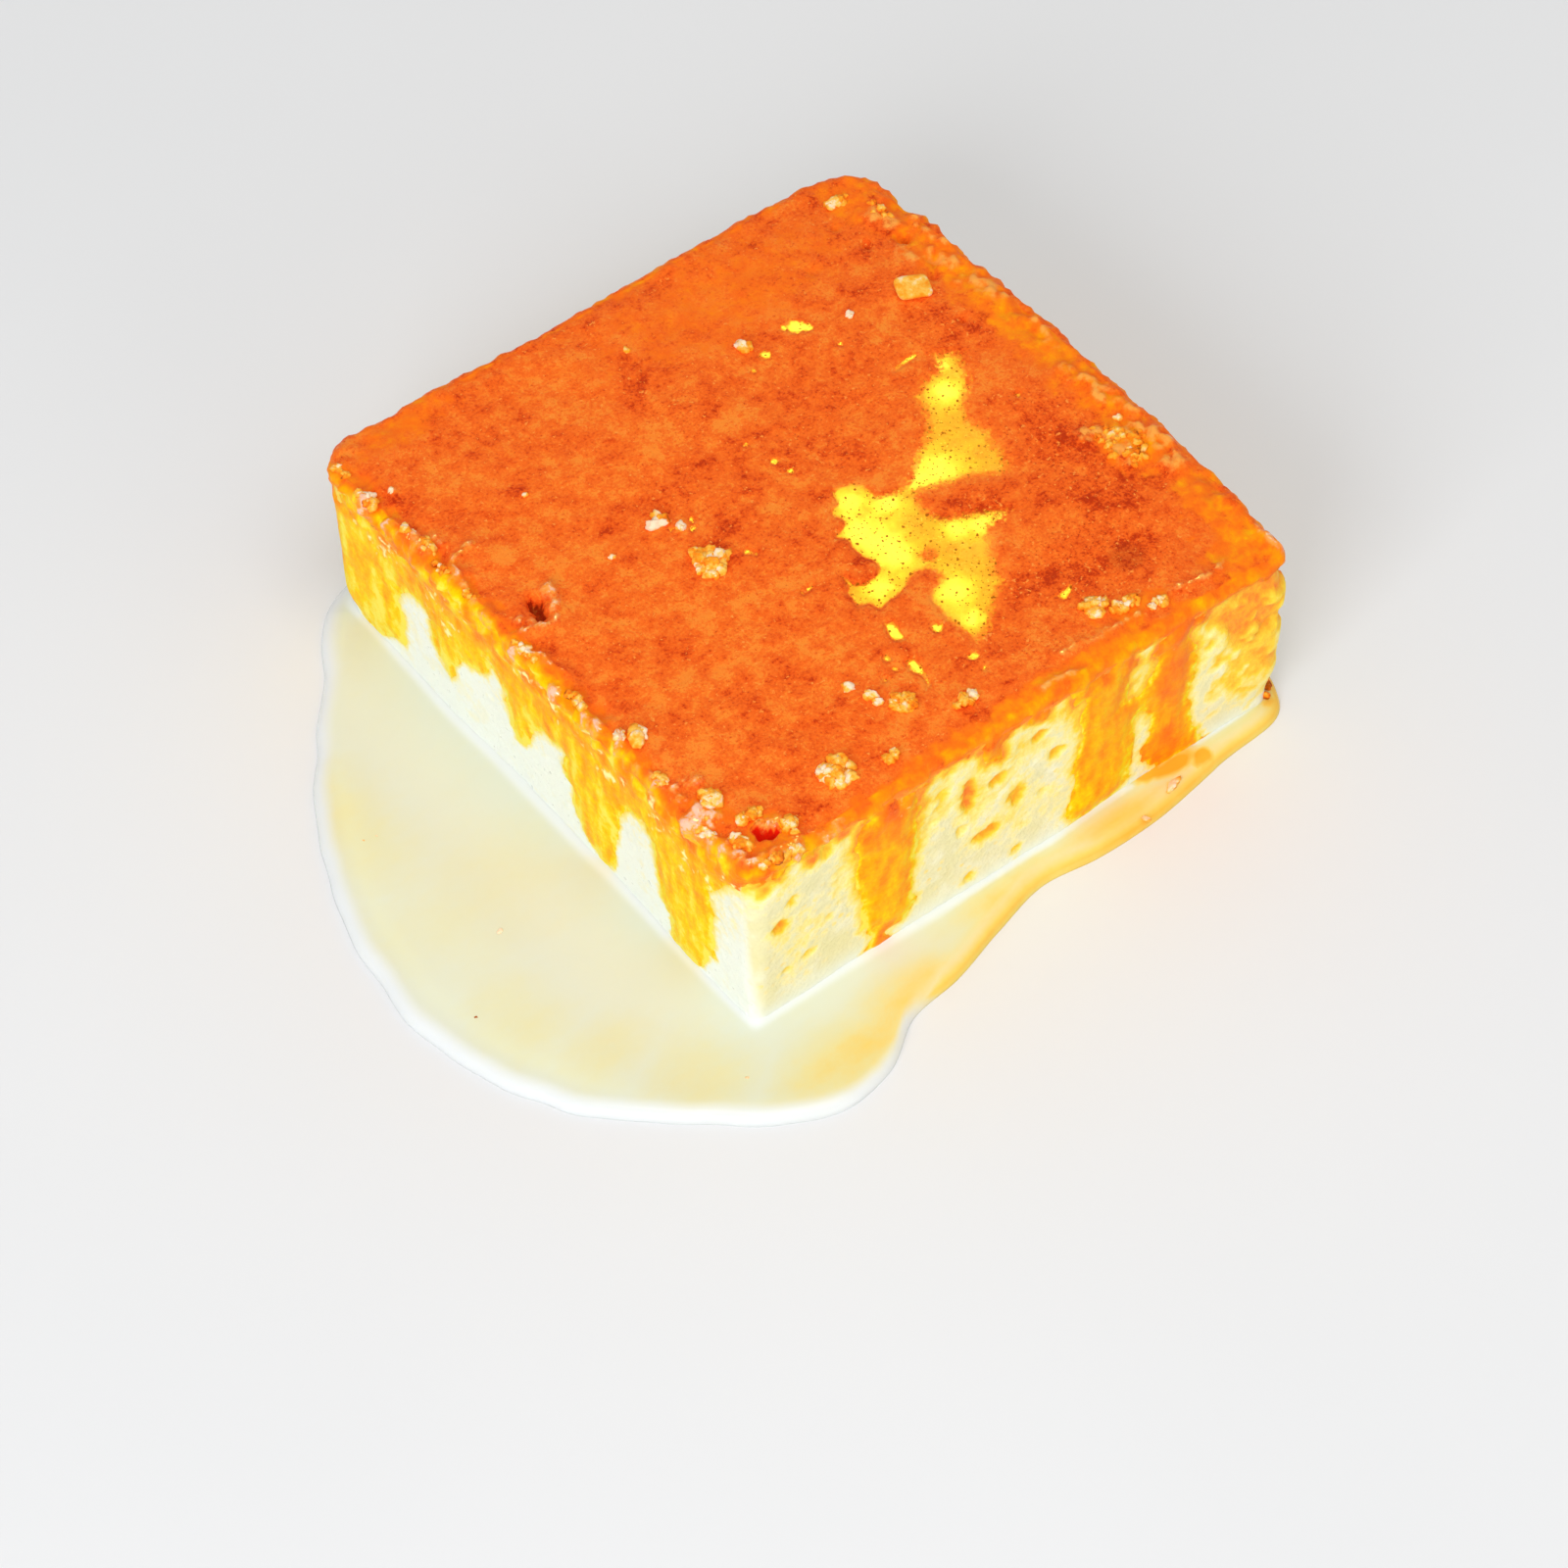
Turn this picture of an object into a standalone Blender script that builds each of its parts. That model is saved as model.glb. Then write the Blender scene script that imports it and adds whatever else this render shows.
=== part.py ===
"""Caramel trilece: a cut slab of sponge soaked in milk, under a poured layer of caramel that runs down
its sides, standing in the shallow pool of milk that has seeped out of it.

Metres, +Z up. The origin is the middle of the slab's flat underside, and X and Y run along its sides.
The slab's four corners are named by where they point: near is -X -Y, right is +X -Y, far is +X +Y and
left is -X +Y. A place on its outline is the distance walked from the near corner, anticlockwise.
"""

import bisect
import math
import random
from typing import NamedTuple

import bmesh
import bpy
from mathutils import Vector, noise

MM = 0.001

# Driving dimensions of the slab of sponge; its top is a plane that tilts up towards the near corner
SLAB_X = 81.6 * MM
SLAB_Y = 84.8 * MM
SPONGE_TOP = 26.8 * MM
TOP_TILT = 0.028
CORNER_RADIUS = {"near": 2.2 * MM, "right": 4 * MM, "far": 6 * MM, "left": 4 * MM}
FOOT_TAPER = 0.6 * MM
SIDE_WAVE = 0.5 * MM
GAP = 0.3 * MM

# How finely the outline is cut: columns for each straight side, more where the drips are finer, and
# for each corner arc
SIDE_COLUMNS = {"right_side": 38, "far_right_side": 22, "far_left_side": 22, "left_side": 38}
CORNER_COLUMNS = 4

# Sponge crumb: how deep the cut side is pitted, the round of its top edge, and the round pores in it
CRUMB_DEPTH = 0.45 * MM
SPONGE_LEVELS = 12
SPONGE_EDGE = 0.9 * MM
PORE_COUNT = 60
PORE_RADIUS = (1.3 * MM, 2.4 * MM)
PORE_DEPTH = (0.5 * MM, 1.3 * MM)

# Caramel: the layer on top, the skirt's thickness, and the round of its edge
LAYER = 2.7 * MM
CORNER_DROP = 0.8 * MM
RIPPLE = 0.35 * MM
EDGE_LUMPS = 0.45 * MM
SKIRT_THICKNESS = 0.75 * MM
DRIP_SWELL = 0.5 * MM
EDGE_ROUND = 2.1 * MM
SKIRT_LEVELS = 5
TOP_RINGS = (0.16, 0.38, 0.58, 0.75, 0.88, 0.96)

# How far the caramel's edge hangs below its round between the drips, on each side of the slab
HANG = {"right_side": 0.8 * MM, "left_side": 4.2 * MM, "far_sides": 2.4 * MM}
HANG_WAVE = 0.45
LOWEST_DRIP = 2.5 * MM

# Milk pool: the depth of the film, the rise where it wets the sponge, and its round outer rim
POOL_DEPTH = 1.5 * MM
WETTING_RISE = 0.4 * MM
WETTING_WIDTH = 1.4 * MM
RIM_WIDTH = 2.4 * MM
RIM_ANGLES = (0, 35, 65, 84)

# Drips on the two sides that show: side, where the drip starts, where its tip is and where it ends,
# along X or Y in millimetres, and the height of the tip. A place past a corner is walked round it.
DRIPS = (
    ("left_side", 49.0, 36.5, 29.0, 2.5),
    ("left_side", 28.0, 20.0, 17.0, 7.5),
    ("left_side", 15.5, 12.8, 10.8, 14.0),
    ("left_side", 10.0, 5.0, 0.6, 8.5),
    ("left_side", 0.0, -10.0, -16.5, 2.5),
    ("left_side", -17.0, -29.5, -34.0, 2.5),
    ("right_side", -26.5, -20.5, -14.5, 2.5),
    ("right_side", -8.0, -6.0, -4.5, 19.0),
    ("right_side", 4.5, 12.0, 20.0, 2.5),
    ("right_side", 20.5, 27.5, 32.5, 2.5),
    ("right_side", 33.0, 42.0, 54.0, 18.0),
)
HIDDEN_DRIPS = 4
HIDDEN_DRIP_WIDTH = (5 * MM, 8 * MM)
HIDDEN_DRIP_TIP = (6 * MM, 16 * MM)
DRIP_BLUNTNESS = 3.0

# The pool's rim, as distances in millimetres from the slab's middle at these bearings in degrees
POOL_RIM = (
    (-176, 71.4), (-164, 74.7), (-150, 75.0), (-139, 72.7), (-130, 71.6), (-124, 69.4), (-119, 64.5),
    (-115, 57.6), (-108, 53.6), (-100, 49.4), (-90, 46.6), (-80, 48.3), (-70, 50.6), (-58, 54.0),
    (-46, 59.6), (-25, 47.4), (0, 43.4), (25, 47.6), (46, 59.6), (68, 48.0), (90, 45.2), (112, 48.2),
    (134, 60.4), (146, 60.6), (156, 62.6), (170, 67.0),
)

# Crumbs of sponge stuck on the caramel: place, and the half-sizes along X, Y and Z, in millimetres
CRUMBS = (
    (-15.2, 8.8, 1.7, 1.2, 0.9),
    (-16.2, 7.2, 0.8, 0.9, 0.7),
    (-14.7, -1.1, 2.6, 2.1, 1.3),
    (31.9, 18.3, 2.8, 1.7, 0.7),
    (9.3, 23.8, 1.2, 0.9, 0.8),
    (-38.2, -18.1, 1.4, 1.3, 1.1),
    (-24.4, -38.0, 2.4, 1.7, 1.3),
    (-27.0, -38.6, 1.5, 1.3, 1.0),
    (-38.0, -31.6, 2.4, 2.4, 1.6),
    (-35.4, -38.2, 1.7, 1.5, 1.2),
)
CRUMB_ROUGHNESS = 0.16

PORE_SEED = 7
HIDDEN_DRIP_SEED = 11
CRUMB_SEED = 3


class Segment(NamedTuple):
    """One straight side or one corner arc of the outline, walked anticlockwise."""

    name: str
    start: float
    length: float
    origin: Vector
    along: Vector
    outward: Vector
    radius: float


def clear_scene():
    for obj in list(bpy.data.objects):
        bpy.data.objects.remove(obj, do_unlink=True)


def principled(name, colour, roughness):
    material = bpy.data.materials.new(name)
    material.use_nodes = True
    shader = material.node_tree.nodes["Principled BSDF"]
    shader.inputs["Base Color"].default_value = (*colour, 1.0)
    shader.inputs["Roughness"].default_value = roughness
    shader.inputs["Metallic"].default_value = 0.0
    material.diffuse_color = (*colour, 1.0)
    return material


def wave(x, y, size, seed):
    """Smooth unevenness between about -1 and 1, with humps of the given size, in metres."""
    return noise.noise(Vector((x / size, y / size, seed)))


def outline_segments():
    """The slab's four sides, each followed by the corner that it leads to."""
    half = Vector((SLAB_X / 2, SLAB_Y / 2))
    legs = (
        ("right_side", "near", "right", Vector((1, 0))),
        ("far_right_side", "right", "far", Vector((0, 1))),
        ("far_left_side", "far", "left", Vector((-1, 0))),
        ("left_side", "left", "near", Vector((0, -1))),
    )
    segments = []
    walked = 0.0
    for side, before, after, along in legs:
        outward = Vector((along.y, -along.x))
        reach = abs(half.dot(along))
        line = along * (CORNER_RADIUS[before] - reach) + outward * abs(half.dot(outward))
        length = 2 * reach - CORNER_RADIUS[before] - CORNER_RADIUS[after]
        segments.append(Segment(side, walked, length, line, along, outward, 0.0))
        walked += length
        radius = CORNER_RADIUS[after]
        centre = line + along * length - outward * radius
        segments.append(Segment(after, walked, radius * math.pi / 2, centre, along, outward, radius))
        walked += radius * math.pi / 2
    return segments, walked


SEGMENTS, PERIMETER = outline_segments()
STARTS = [segment.start for segment in SEGMENTS]
SIDES = {segment.name: segment for segment in SEGMENTS if segment.radius == 0.0}


def outline(walked):
    """The point of the slab's outline at this distance from the near corner, and its outward direction."""
    walked %= PERIMETER
    segment = SEGMENTS[bisect.bisect_right(STARTS, walked) - 1]
    distance = walked - segment.start
    if segment.radius == 0.0:
        point, direction = segment.origin + segment.along * distance, segment.outward
    else:
        turned = distance / segment.radius
        direction = segment.outward * math.cos(turned) + segment.along * math.sin(turned)
        point = segment.origin + direction * segment.radius
    uneven = wave(point.x, point.y, 24 * MM, 1.5) + 0.4 * wave(point.x, point.y, 9 * MM, 4.5)
    return point + direction * (SIDE_WAVE * uneven), direction


def columns():
    """Distances along the outline at which every ring of points is cut."""
    found = []
    for segment in SEGMENTS:
        count = SIDE_COLUMNS.get(segment.name, CORNER_COLUMNS)
        found += [segment.start + segment.length * n / count for n in range(count)]
    return found


def sponge_top(x, y):
    """Height of the sponge's flat top, which tilts up towards the near corner."""
    return SPONGE_TOP - TOP_TILT * (x + y)


def envelope(walked, height, clearance):
    """A point this far out from the slab's cut side, which leans in a little towards its foot."""
    point, direction = outline(walked)
    lean = FOOT_TAPER * min(0.0, height / SPONGE_TOP - 1)
    place = point + direction * (lean + clearance)
    return Vector((place.x, place.y, height))


def pores():
    """Round pores of the crumb as (place on the outline, height, radius, depth)."""
    draw = random.Random(PORE_SEED)
    found = []
    for _ in range(PORE_COUNT):
        place = draw.uniform(0, PERIMETER)
        height = draw.uniform(2 * MM, SPONGE_TOP - 3 * MM)
        found.append((place, height, draw.uniform(*PORE_RADIUS), draw.uniform(*PORE_DEPTH)))
    return found


def crumb_relief(walked, height, holes):
    """How far the crumb lies behind the slab's flat cut side."""
    point, _ = outline(walked)
    rough = noise.noise(Vector((point.x, point.y, height)) / (5 * MM))
    depth = CRUMB_DEPTH * (0.5 + 0.5 * rough)
    for place, level, radius, deepest in holes:
        across = (walked - place + PERIMETER / 2) % PERIMETER - PERIMETER / 2
        away = math.hypot(across, height - level) / radius
        if away < 1:
            depth = max(depth, deepest * math.sqrt(1 - away**2))
    return depth


def skin_of_rings(mesh, rings):
    """Joins closed rings of the same number of points by quads, the first ring to the second and so on."""
    loops = [[mesh.verts.new(point) for point in ring] for ring in rings]
    for lower, upper in zip(loops, loops[1:]):
        for n in range(len(lower)):
            m = (n + 1) % len(lower)
            mesh.faces.new((lower[n], lower[m], upper[m], upper[n]))
    return loops


def add_object(name, mesh, material):
    bmesh.ops.recalc_face_normals(mesh, faces=mesh.faces)
    data = bpy.data.meshes.new(name)
    mesh.to_mesh(data)
    mesh.free()
    data.materials.append(material)
    data.shade_smooth()
    data.set_sharp_from_angle(angle=math.radians(50))
    obj = bpy.data.objects.new(name, data)
    bpy.context.scene.collection.objects.link(obj)
    return obj


def make_sponge():
    """The slab itself: flat underneath, cut sides with pores, and a flat top with a rounded edge."""
    holes = pores()
    rings = [[] for _ in range(SPONGE_LEVELS + 3)]
    for s in columns():
        point, _ = outline(s)
        top = sponge_top(point.x, point.y)
        for level in range(SPONGE_LEVELS + 1):
            height = (top - SPONGE_EDGE) * level / SPONGE_LEVELS
            relief = crumb_relief(s, height, holes) if 0 < level < SPONGE_LEVELS else 0.0
            rings[level].append(envelope(s, height, -relief))
        shoulder = envelope(s, top - 0.3 * SPONGE_EDGE, -0.3 * SPONGE_EDGE)
        rings[-2].append(shoulder)
        edge = envelope(s, top, -SPONGE_EDGE)
        rings[-1].append(Vector((edge.x, edge.y, sponge_top(edge.x, edge.y))))
    mesh = bmesh.new()
    loops = skin_of_rings(mesh, rings)
    mesh.faces.new(loops[0])
    mesh.faces.new(loops[-1])
    return add_object("sponge", mesh, principled("milk_soaked_sponge", (0.93, 0.88, 0.70), 0.55))


def caramel_top(x, y):
    """Height of the caramel's top: it follows the sponge, falls off at the two side corners and ripples."""
    far_x, far_y = 2 * abs(x) / SLAB_X, 2 * abs(y) / SLAB_Y
    drop = CORNER_DROP * (far_x * far_y) ** 2 if x * y < 0 else 0.0
    ripple = RIPPLE * wave(x, y, 17 * MM, 8.5)
    lumps = EDGE_LUMPS * wave(x, y, 6 * MM, 2.5) * min(1.0, max(far_x, far_y)) ** 4
    return sponge_top(x, y) + LAYER - drop + ripple + lumps


def drip_list():
    """Every drip as (start, tip, end) along the outline and the height of its tip, in metres."""
    found = []
    for side, start, tip, end, height in DRIPS:
        segment = SIDES[side]
        axis = segment.along
        first = segment.start - segment.origin.dot(axis)
        sense = axis.x + axis.y
        places = [first + sense * place * MM for place in (start, tip, end)]
        found.append((*places, height * MM))
    draw = random.Random(HIDDEN_DRIP_SEED)
    for side in ("far_right_side", "far_left_side"):
        for n in range(HIDDEN_DRIPS):
            middle = SIDES[side].start + SIDES[side].length * (n + draw.uniform(0.3, 0.7)) / HIDDEN_DRIPS
            width = draw.uniform(*HIDDEN_DRIP_WIDTH)
            height = draw.choice((LOWEST_DRIP, draw.uniform(*HIDDEN_DRIP_TIP)))
            found.append((middle - width, middle, middle + width, height))
    return found


def drip_bottom(walked, edge, drips):
    """The height to which the caramel hangs here, from the lower end of its rounded edge."""
    point, out = outline(walked)
    hang = HANG["left_side"] * max(0.0, -out.x) ** 2 + HANG["right_side"] * max(0.0, -out.y) ** 2
    hang += HANG["far_sides"] * (max(0.0, out.x) ** 2 + max(0.0, out.y) ** 2)
    hang *= 1 + HANG_WAVE * wave(point.x, point.y, 8 * MM, 6.5)
    lowest = edge - hang
    for start, tip, end, height in drips:
        if start < walked < end:
            share = (walked - start) / (tip - start) if walked < tip else (end - walked) / (end - tip)
            reach = 1 - (1 - share) ** DRIP_BLUNTNESS
            lowest = min(lowest, edge - hang + (height - edge + hang) * reach)
    return max(lowest, LOWEST_DRIP)


def caramel_column(walked, drips):
    """One column of points: out from the middle, over the edge, down the skirt and back inside."""
    outer = GAP + SKIRT_THICKNESS
    rim = envelope(walked, SPONGE_TOP, outer - EDGE_ROUND)
    points = []
    for share in TOP_RINGS:
        x, y = rim.x * share, rim.y * share
        points.append(Vector((x, y, caramel_top(x, y))))
    top = caramel_top(rim.x, rim.y)
    for turned in (0, 30, 60, 90):
        angle = math.radians(turned)
        place = envelope(walked, SPONGE_TOP, outer - EDGE_ROUND * (1 - math.sin(angle)))
        points.append(Vector((place.x, place.y, top - EDGE_ROUND * (1 - math.cos(angle)))))
    edge = top - EDGE_ROUND
    bottom = drip_bottom(walked, edge, drips)
    for level in range(1, SKIRT_LEVELS + 1):
        share = level / SKIRT_LEVELS
        length = min(1.0, (edge - bottom) / (10 * MM))
        swell = DRIP_SWELL * length * share * math.sin(math.pi * share)
        tuck = 0.45 * SKIRT_THICKNESS if level == SKIRT_LEVELS else 0.0
        points.append(envelope(walked, edge + (bottom - edge) * share, outer + swell - tuck))
    inside = envelope(walked, SPONGE_TOP, GAP)
    ceiling = sponge_top(inside.x, inside.y) + GAP
    for share in (0.0, 0.35, 0.7, 1.0):
        points.append(envelope(walked, bottom + (ceiling - bottom) * share, GAP))
    points[-1] = Vector((inside.x, inside.y, ceiling))
    return points


def make_crumb(number, place, size, draw):
    """One crumb of sponge, sunk by a third of its height into the caramel."""
    mesh = bmesh.new()
    bmesh.ops.create_icosphere(mesh, subdivisions=2, radius=1.0)
    for vertex in mesh.verts:
        uneven = vertex.co * (1 + draw.uniform(-CRUMB_ROUGHNESS, CRUMB_ROUGHNESS))
        vertex.co = Vector((uneven.x * size[0], uneven.y * size[1], uneven.z * size[2]))
    data = bpy.data.meshes.new(f"crumb_{number}")
    mesh.to_mesh(data)
    mesh.free()
    crumb = bpy.data.objects.new(f"crumb_{number}", data)
    crumb.location = (*place, caramel_top(*place) + 0.3 * size[2])
    crumb.rotation_euler.z = draw.uniform(0, math.pi)
    return crumb


def join_crumbs(caramel):
    """Fuses the crumbs to the caramel with one union, then removes them."""
    draw = random.Random(CRUMB_SEED)
    crumbs = bpy.data.collections.new("crumbs")
    bpy.context.scene.collection.children.link(crumbs)
    for number, (x, y, *size) in enumerate(CRUMBS):
        size = [side * MM for side in size]
        crumbs.objects.link(make_crumb(number, (x * MM, y * MM), size, draw))
    union = caramel.modifiers.new("crumbs", "BOOLEAN")
    union.operation = "UNION"
    union.operand_type = "COLLECTION"
    union.collection = crumbs
    union.solver = "EXACT"
    bpy.context.view_layer.update()
    graph = bpy.context.evaluated_depsgraph_get()
    joined = bpy.data.meshes.new_from_object(caramel.evaluated_get(graph))
    caramel.modifiers.remove(union)
    caramel.data = joined
    for crumb in list(crumbs.objects):
        bpy.data.objects.remove(crumb, do_unlink=True)
    bpy.data.collections.remove(crumbs)


def make_caramel():
    """The poured layer: a level top with a round edge, and drips that hang over the cut sides."""
    drips = drip_list()
    rings = zip(*(caramel_column(s, drips) for s in columns()))
    mesh = bmesh.new()
    loops = skin_of_rings(mesh, rings)
    middle = mesh.verts.new((0, 0, caramel_top(0, 0)))
    first = loops[0]
    for n in range(len(first)):
        mesh.faces.new((middle, first[n], first[(n + 1) % len(first)]))
    mesh.faces.new(loops[-1])
    caramel = add_object("caramel", mesh, principled("caramel_glaze", (0.85, 0.16, 0.01), 0.2))
    join_crumbs(caramel)
    return caramel


def pool_reach(bearing):
    """Distance from the slab's middle to the pool's rim, by a smooth curve through POOL_RIM."""
    degrees = math.degrees(bearing)
    count = len(POOL_RIM)
    n = bisect.bisect_right([place[0] for place in POOL_RIM], degrees) - 1

    def knot(index):
        turns, place = divmod(index, count)
        return POOL_RIM[place][0] + 360 * turns, POOL_RIM[place][1]

    (b0, r0), (b1, r1), (b2, r2), (b3, r3) = (knot(n + step) for step in (-1, 0, 1, 2))
    t = (degrees - b1) / (b2 - b1)
    slope_in = (r2 - r0) / (b2 - b0) * (b2 - b1)
    slope_out = (r3 - r1) / (b3 - b1) * (b2 - b1)
    reach = r1 * (2 * t**3 - 3 * t**2 + 1) + r2 * (3 * t**2 - 2 * t**3)
    reach += slope_in * (t**3 - 2 * t**2 + t) + slope_out * (t**3 - t**2)
    return reach * MM


def pool_column(walked):
    """One column of points: up the wetted foot, over the film and down the round rim."""
    foot = envelope(walked, 0.0, GAP)
    bearing = math.atan2(foot.y, foot.x)
    outward = Vector((math.cos(bearing), math.sin(bearing), 0))
    width = max(pool_reach(bearing) - foot.length, 1.6 * MM)
    rim_width = min(RIM_WIDTH, 0.6 * width)
    wetting = min(WETTING_WIDTH, 0.35 * width)
    depth = POOL_DEPTH * min(1.0, 0.55 + 0.45 * width / (6 * MM))
    points = [foot, foot + Vector((0, 0, depth + WETTING_RISE))]
    points.append(foot + outward * wetting + Vector((0, 0, depth)))
    for turned in RIM_ANGLES:
        angle = math.radians(turned)
        across = width - rim_width * (1 - math.sin(angle))
        points.append(foot + outward * across + Vector((0, 0, depth * math.cos(angle))))
    points.append(foot + outward * (width - 0.06 * rim_width))
    return points


def make_milk_pool():
    """A flat film of milk round the slab's foot, drawn up where it wets the sponge, with a round rim."""
    mesh = bmesh.new()
    loops = skin_of_rings(mesh, zip(*(pool_column(s) for s in columns())))
    inner, outer = loops[0], loops[-1]
    for n in range(len(inner)):
        m = (n + 1) % len(inner)
        mesh.faces.new((outer[n], outer[m], inner[m], inner[n]))
    return add_object("milk_pool", mesh, principled("sweet_milk", (0.90, 0.88, 0.76), 0.12))


clear_scene()
make_sponge()
make_caramel()
make_milk_pool()
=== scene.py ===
"""Caramel trilece: a square cut of milk-soaked sponge under a poured layer of caramel that runs down its
cut sides, with crumbs on top and a shallow pool of its milk round the foot.

Sizes are in millimetres, in the CAD's frame: X and Y run along the cake's sides and +Z is up. The left
side faces -X, the right side -Y, and the two far sides +X and +Y. The corners are named by where they
point: near is -X -Y, right is +X -Y, far is +X +Y and left is -X +Y. A place round the cake is the
distance walked from the end of the near corner, anticlockwise.
"""

import math
import random

import bmesh
import bpy
import numpy as np
from mathutils import Matrix, Vector, noise


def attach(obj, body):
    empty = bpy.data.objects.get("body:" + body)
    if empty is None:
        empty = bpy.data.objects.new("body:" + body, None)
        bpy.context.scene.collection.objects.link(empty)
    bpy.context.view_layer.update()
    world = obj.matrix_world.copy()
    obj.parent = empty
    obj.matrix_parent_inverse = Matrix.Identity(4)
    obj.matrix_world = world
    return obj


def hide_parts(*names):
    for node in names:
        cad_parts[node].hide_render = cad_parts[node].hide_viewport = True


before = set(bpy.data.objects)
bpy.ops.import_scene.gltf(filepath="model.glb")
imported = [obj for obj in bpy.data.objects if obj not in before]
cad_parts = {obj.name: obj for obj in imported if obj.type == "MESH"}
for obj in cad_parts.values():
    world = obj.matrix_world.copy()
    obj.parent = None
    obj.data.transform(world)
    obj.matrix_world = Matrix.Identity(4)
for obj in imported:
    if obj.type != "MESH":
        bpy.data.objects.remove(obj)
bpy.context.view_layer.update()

# The sponge: a square cut of pale cake, soaked in milk, with pitted crumb and round pores on its cut
# sides. It is baked in a tray, soaked, and cut with a knife, so the sides are flat but for the crumb.
MM = 0.001
SLAB_X = 81.6
SLAB_Y = 84.8
SPONGE_TOP = 26.8
TOP_TILT = 0.028
CORNER_DROP = 0.8
CORNER_ROUND = (2.6, 6.0, 4.0, 2.2)
FOOT_TAPER = 0.6
SIDE_WAVE = 0.5
# Two corners bulge, each from one to another distance out along its own diagonal, as X and Y together
RIGHT_CORNER = (66, 80)
LEFT_CORNER = (70, 81)
RIGHT_BULGE = 0.9
LEFT_BULGE = 0.75
QUARTER_COLUMNS = 172
SIDE_ROWS = 70
# The solid's caramel is thicker at a side than the layer that shows there, so the crumb stands higher
CRUMB_RISE = 1.4
SHOULDER = 0.7
PUFF = 0.5
# Inside its edge the crumb lies lower again, under the full depth of the caramel
INSET = 2.0
SINK = 0.8
# The way round the cake, and the places in it of X = 0 on the right side and Y = 0 on the left side
PERIMETER = 2 * (SLAB_X + SLAB_Y) - (2 - math.pi / 2) * sum(CORNER_ROUND)
RIGHT_MIDDLE = SLAB_X / 2 - CORNER_ROUND[-1]
LEFT_MIDDLE = PERIMETER - CORNER_ROUND[-1] * math.pi / 2 - (SLAB_Y / 2 - CORNER_ROUND[-1])
# Humps of the crumb as (size, depth), and its pits as (spacing, radius, depth)
HUMPS = ((5.0, 0.3), (1.9, 0.1), (0.95, 0.06))
PIT_CELLS = ((2.4, 0.3, 0.24), (1.3, 0.34, 0.12))
# The pits are shallow at the foot and deepen between two heights, and the right side's crumb is closer
FOOT_PITS = 0.3
PITS_DEEPEN = (5, 20)
RIGHT_CLOSER = 0.35
# The wide pores: how much wider and fuller than their table says, and the stained halo round each
PORE_GROWTH = 1.15
PORE_FULLER = 1.15
PORE_HALO = 0.36
PORE_DEPTH = 0.3
# Crumb that caramel has soaked sinks this far, and its standing chunks are this much paler
SOAKED_SINK = 1.1
CHUNK_PALER = 0.45
FOOT_DEPTH = 0.3
# Milk whitens the foot, and less high up the right side; up the left side its white reaches far higher as
# painted light, for that side faces the light
LEFT_PAINTED_LIGHTER = 0.8
RIGHT_DRIER = 2.6
# Wide pores on the right side as (X, height, half width, half height, how full of caramel)
PORES = (
    (-8.4, 20.3, 1, 2.7, 0.78), (-4.1, 20.6, 1.3, 1, 0.62), (-0.9, 15, 1.2, 1.6, 0.6),
    (-5.3, 10.9, 1.8, 1, 0.68), (2, 24.1, 1, 0.9, 0.6), (5, 18.7, 1.1, 0.9, 0.5),
    (-36.9, 18.4, 0.9, 1.3, 0.68), (-7.8, 4, 0.7, 0.7, 0.42), (-0.6, 3.7, 0.6, 0.8, 0.4),
    (-32.5, 9, 0.8, 0.7, 0.36), (-35.9, 8.7, 0.6, 0.5, 0.34), (-30, 27.6, 0.9, 1.2, 0.5),
    (-35, 22.1, 0.8, 1, 0.46), (-9.4, 14.3, 0.8, 0.9, 0.32), (37.8, 18.2, 1.1, 1.3, 0.6),
    (3.1, 12.4, 0.7, 0.6, 0.3), (-12.4, 23.6, 0.8, 1.1, 0.4), (-29.4, 14, 0.6, 0.5, 0.3),
)
# Places on the right side that caramel has soaked without covering them, as (X, height, half length,
# half width, slope in degrees, strength)
SOAKED_PLACES = (
    (35.5, 22.5, 9.5, 9, 0, 0.82), (36.5, 12, 7.5, 9, 0, 0.56), (-7.5, 18.5, 4.5, 4.2, 0, 0.36),
    (30.5, 29.5, 3.6, 1.8, 0, 0.62), (41.6, 17.5, 11, 3.2, 90, 0.8), (36, 18.6, 6, 2, -28, 0.85),
    (37.8, 13, 5.5, 1.8, -40, 0.72), (33, 26, 4, 3, 20, 0.6), (36.5, 8.5, 6, 2.4, -40, 0.5),
    (-38.9, 27.2, 2.1, 1.5, 60, 0.72), (-13, 22.5, 6.5, 2.8, 80, 0.34), (-2, 24, 7.5, 3.6, -25, 0.36),
    (-40.5, 30, 2.6, 0.9, -20, 0.6), (22.5, 2.6, 4, 0.9, 0, 0.5), (-28, 20, 7, 2.4, 80, 0.28),
    (-33, 13, 8, 5, 70, 0.2), (2, 10, 9, 5, 0, 0.2), (-35, 29.5, 5, 1.8, 0, 0.42), (4, 29, 3, 1.6, 0, 0.42),
)
# The crumb's colours: its cream, clouds and grains, the foot in the milk (also painted light up the lit
# left side), its pits and its small pores
CREAM = (235, 226, 171)
LIGHT_CREAM = (238, 230, 186)
WHITE_GRAIN = (244, 241, 212)
MILKY_FOOT_AND_LIT_WHITE = (243, 247, 237)
PIT_CREAM = (250, 222, 124)
SMALL_PORE_CREAM = (252, 226, 128)
# Crumb that caramel has soaked, by how much of it there is
SOAKED_SHADES = {
    0: (250, 244, 200), 0.22: (252, 232, 140), 0.42: (255, 212, 50), 0.68: (255, 176, 24),
    0.95: (255, 128, 26),
}


def colour(red, green, blue):
    """A colour of the scale that screens use, from 0 to 255, as the linear one that shaders use."""
    parts = [((part / 255 + 0.055) / 1.055) ** 2.4 for part in (red, green, blue)]
    return (*parts, 1.0)


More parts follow.
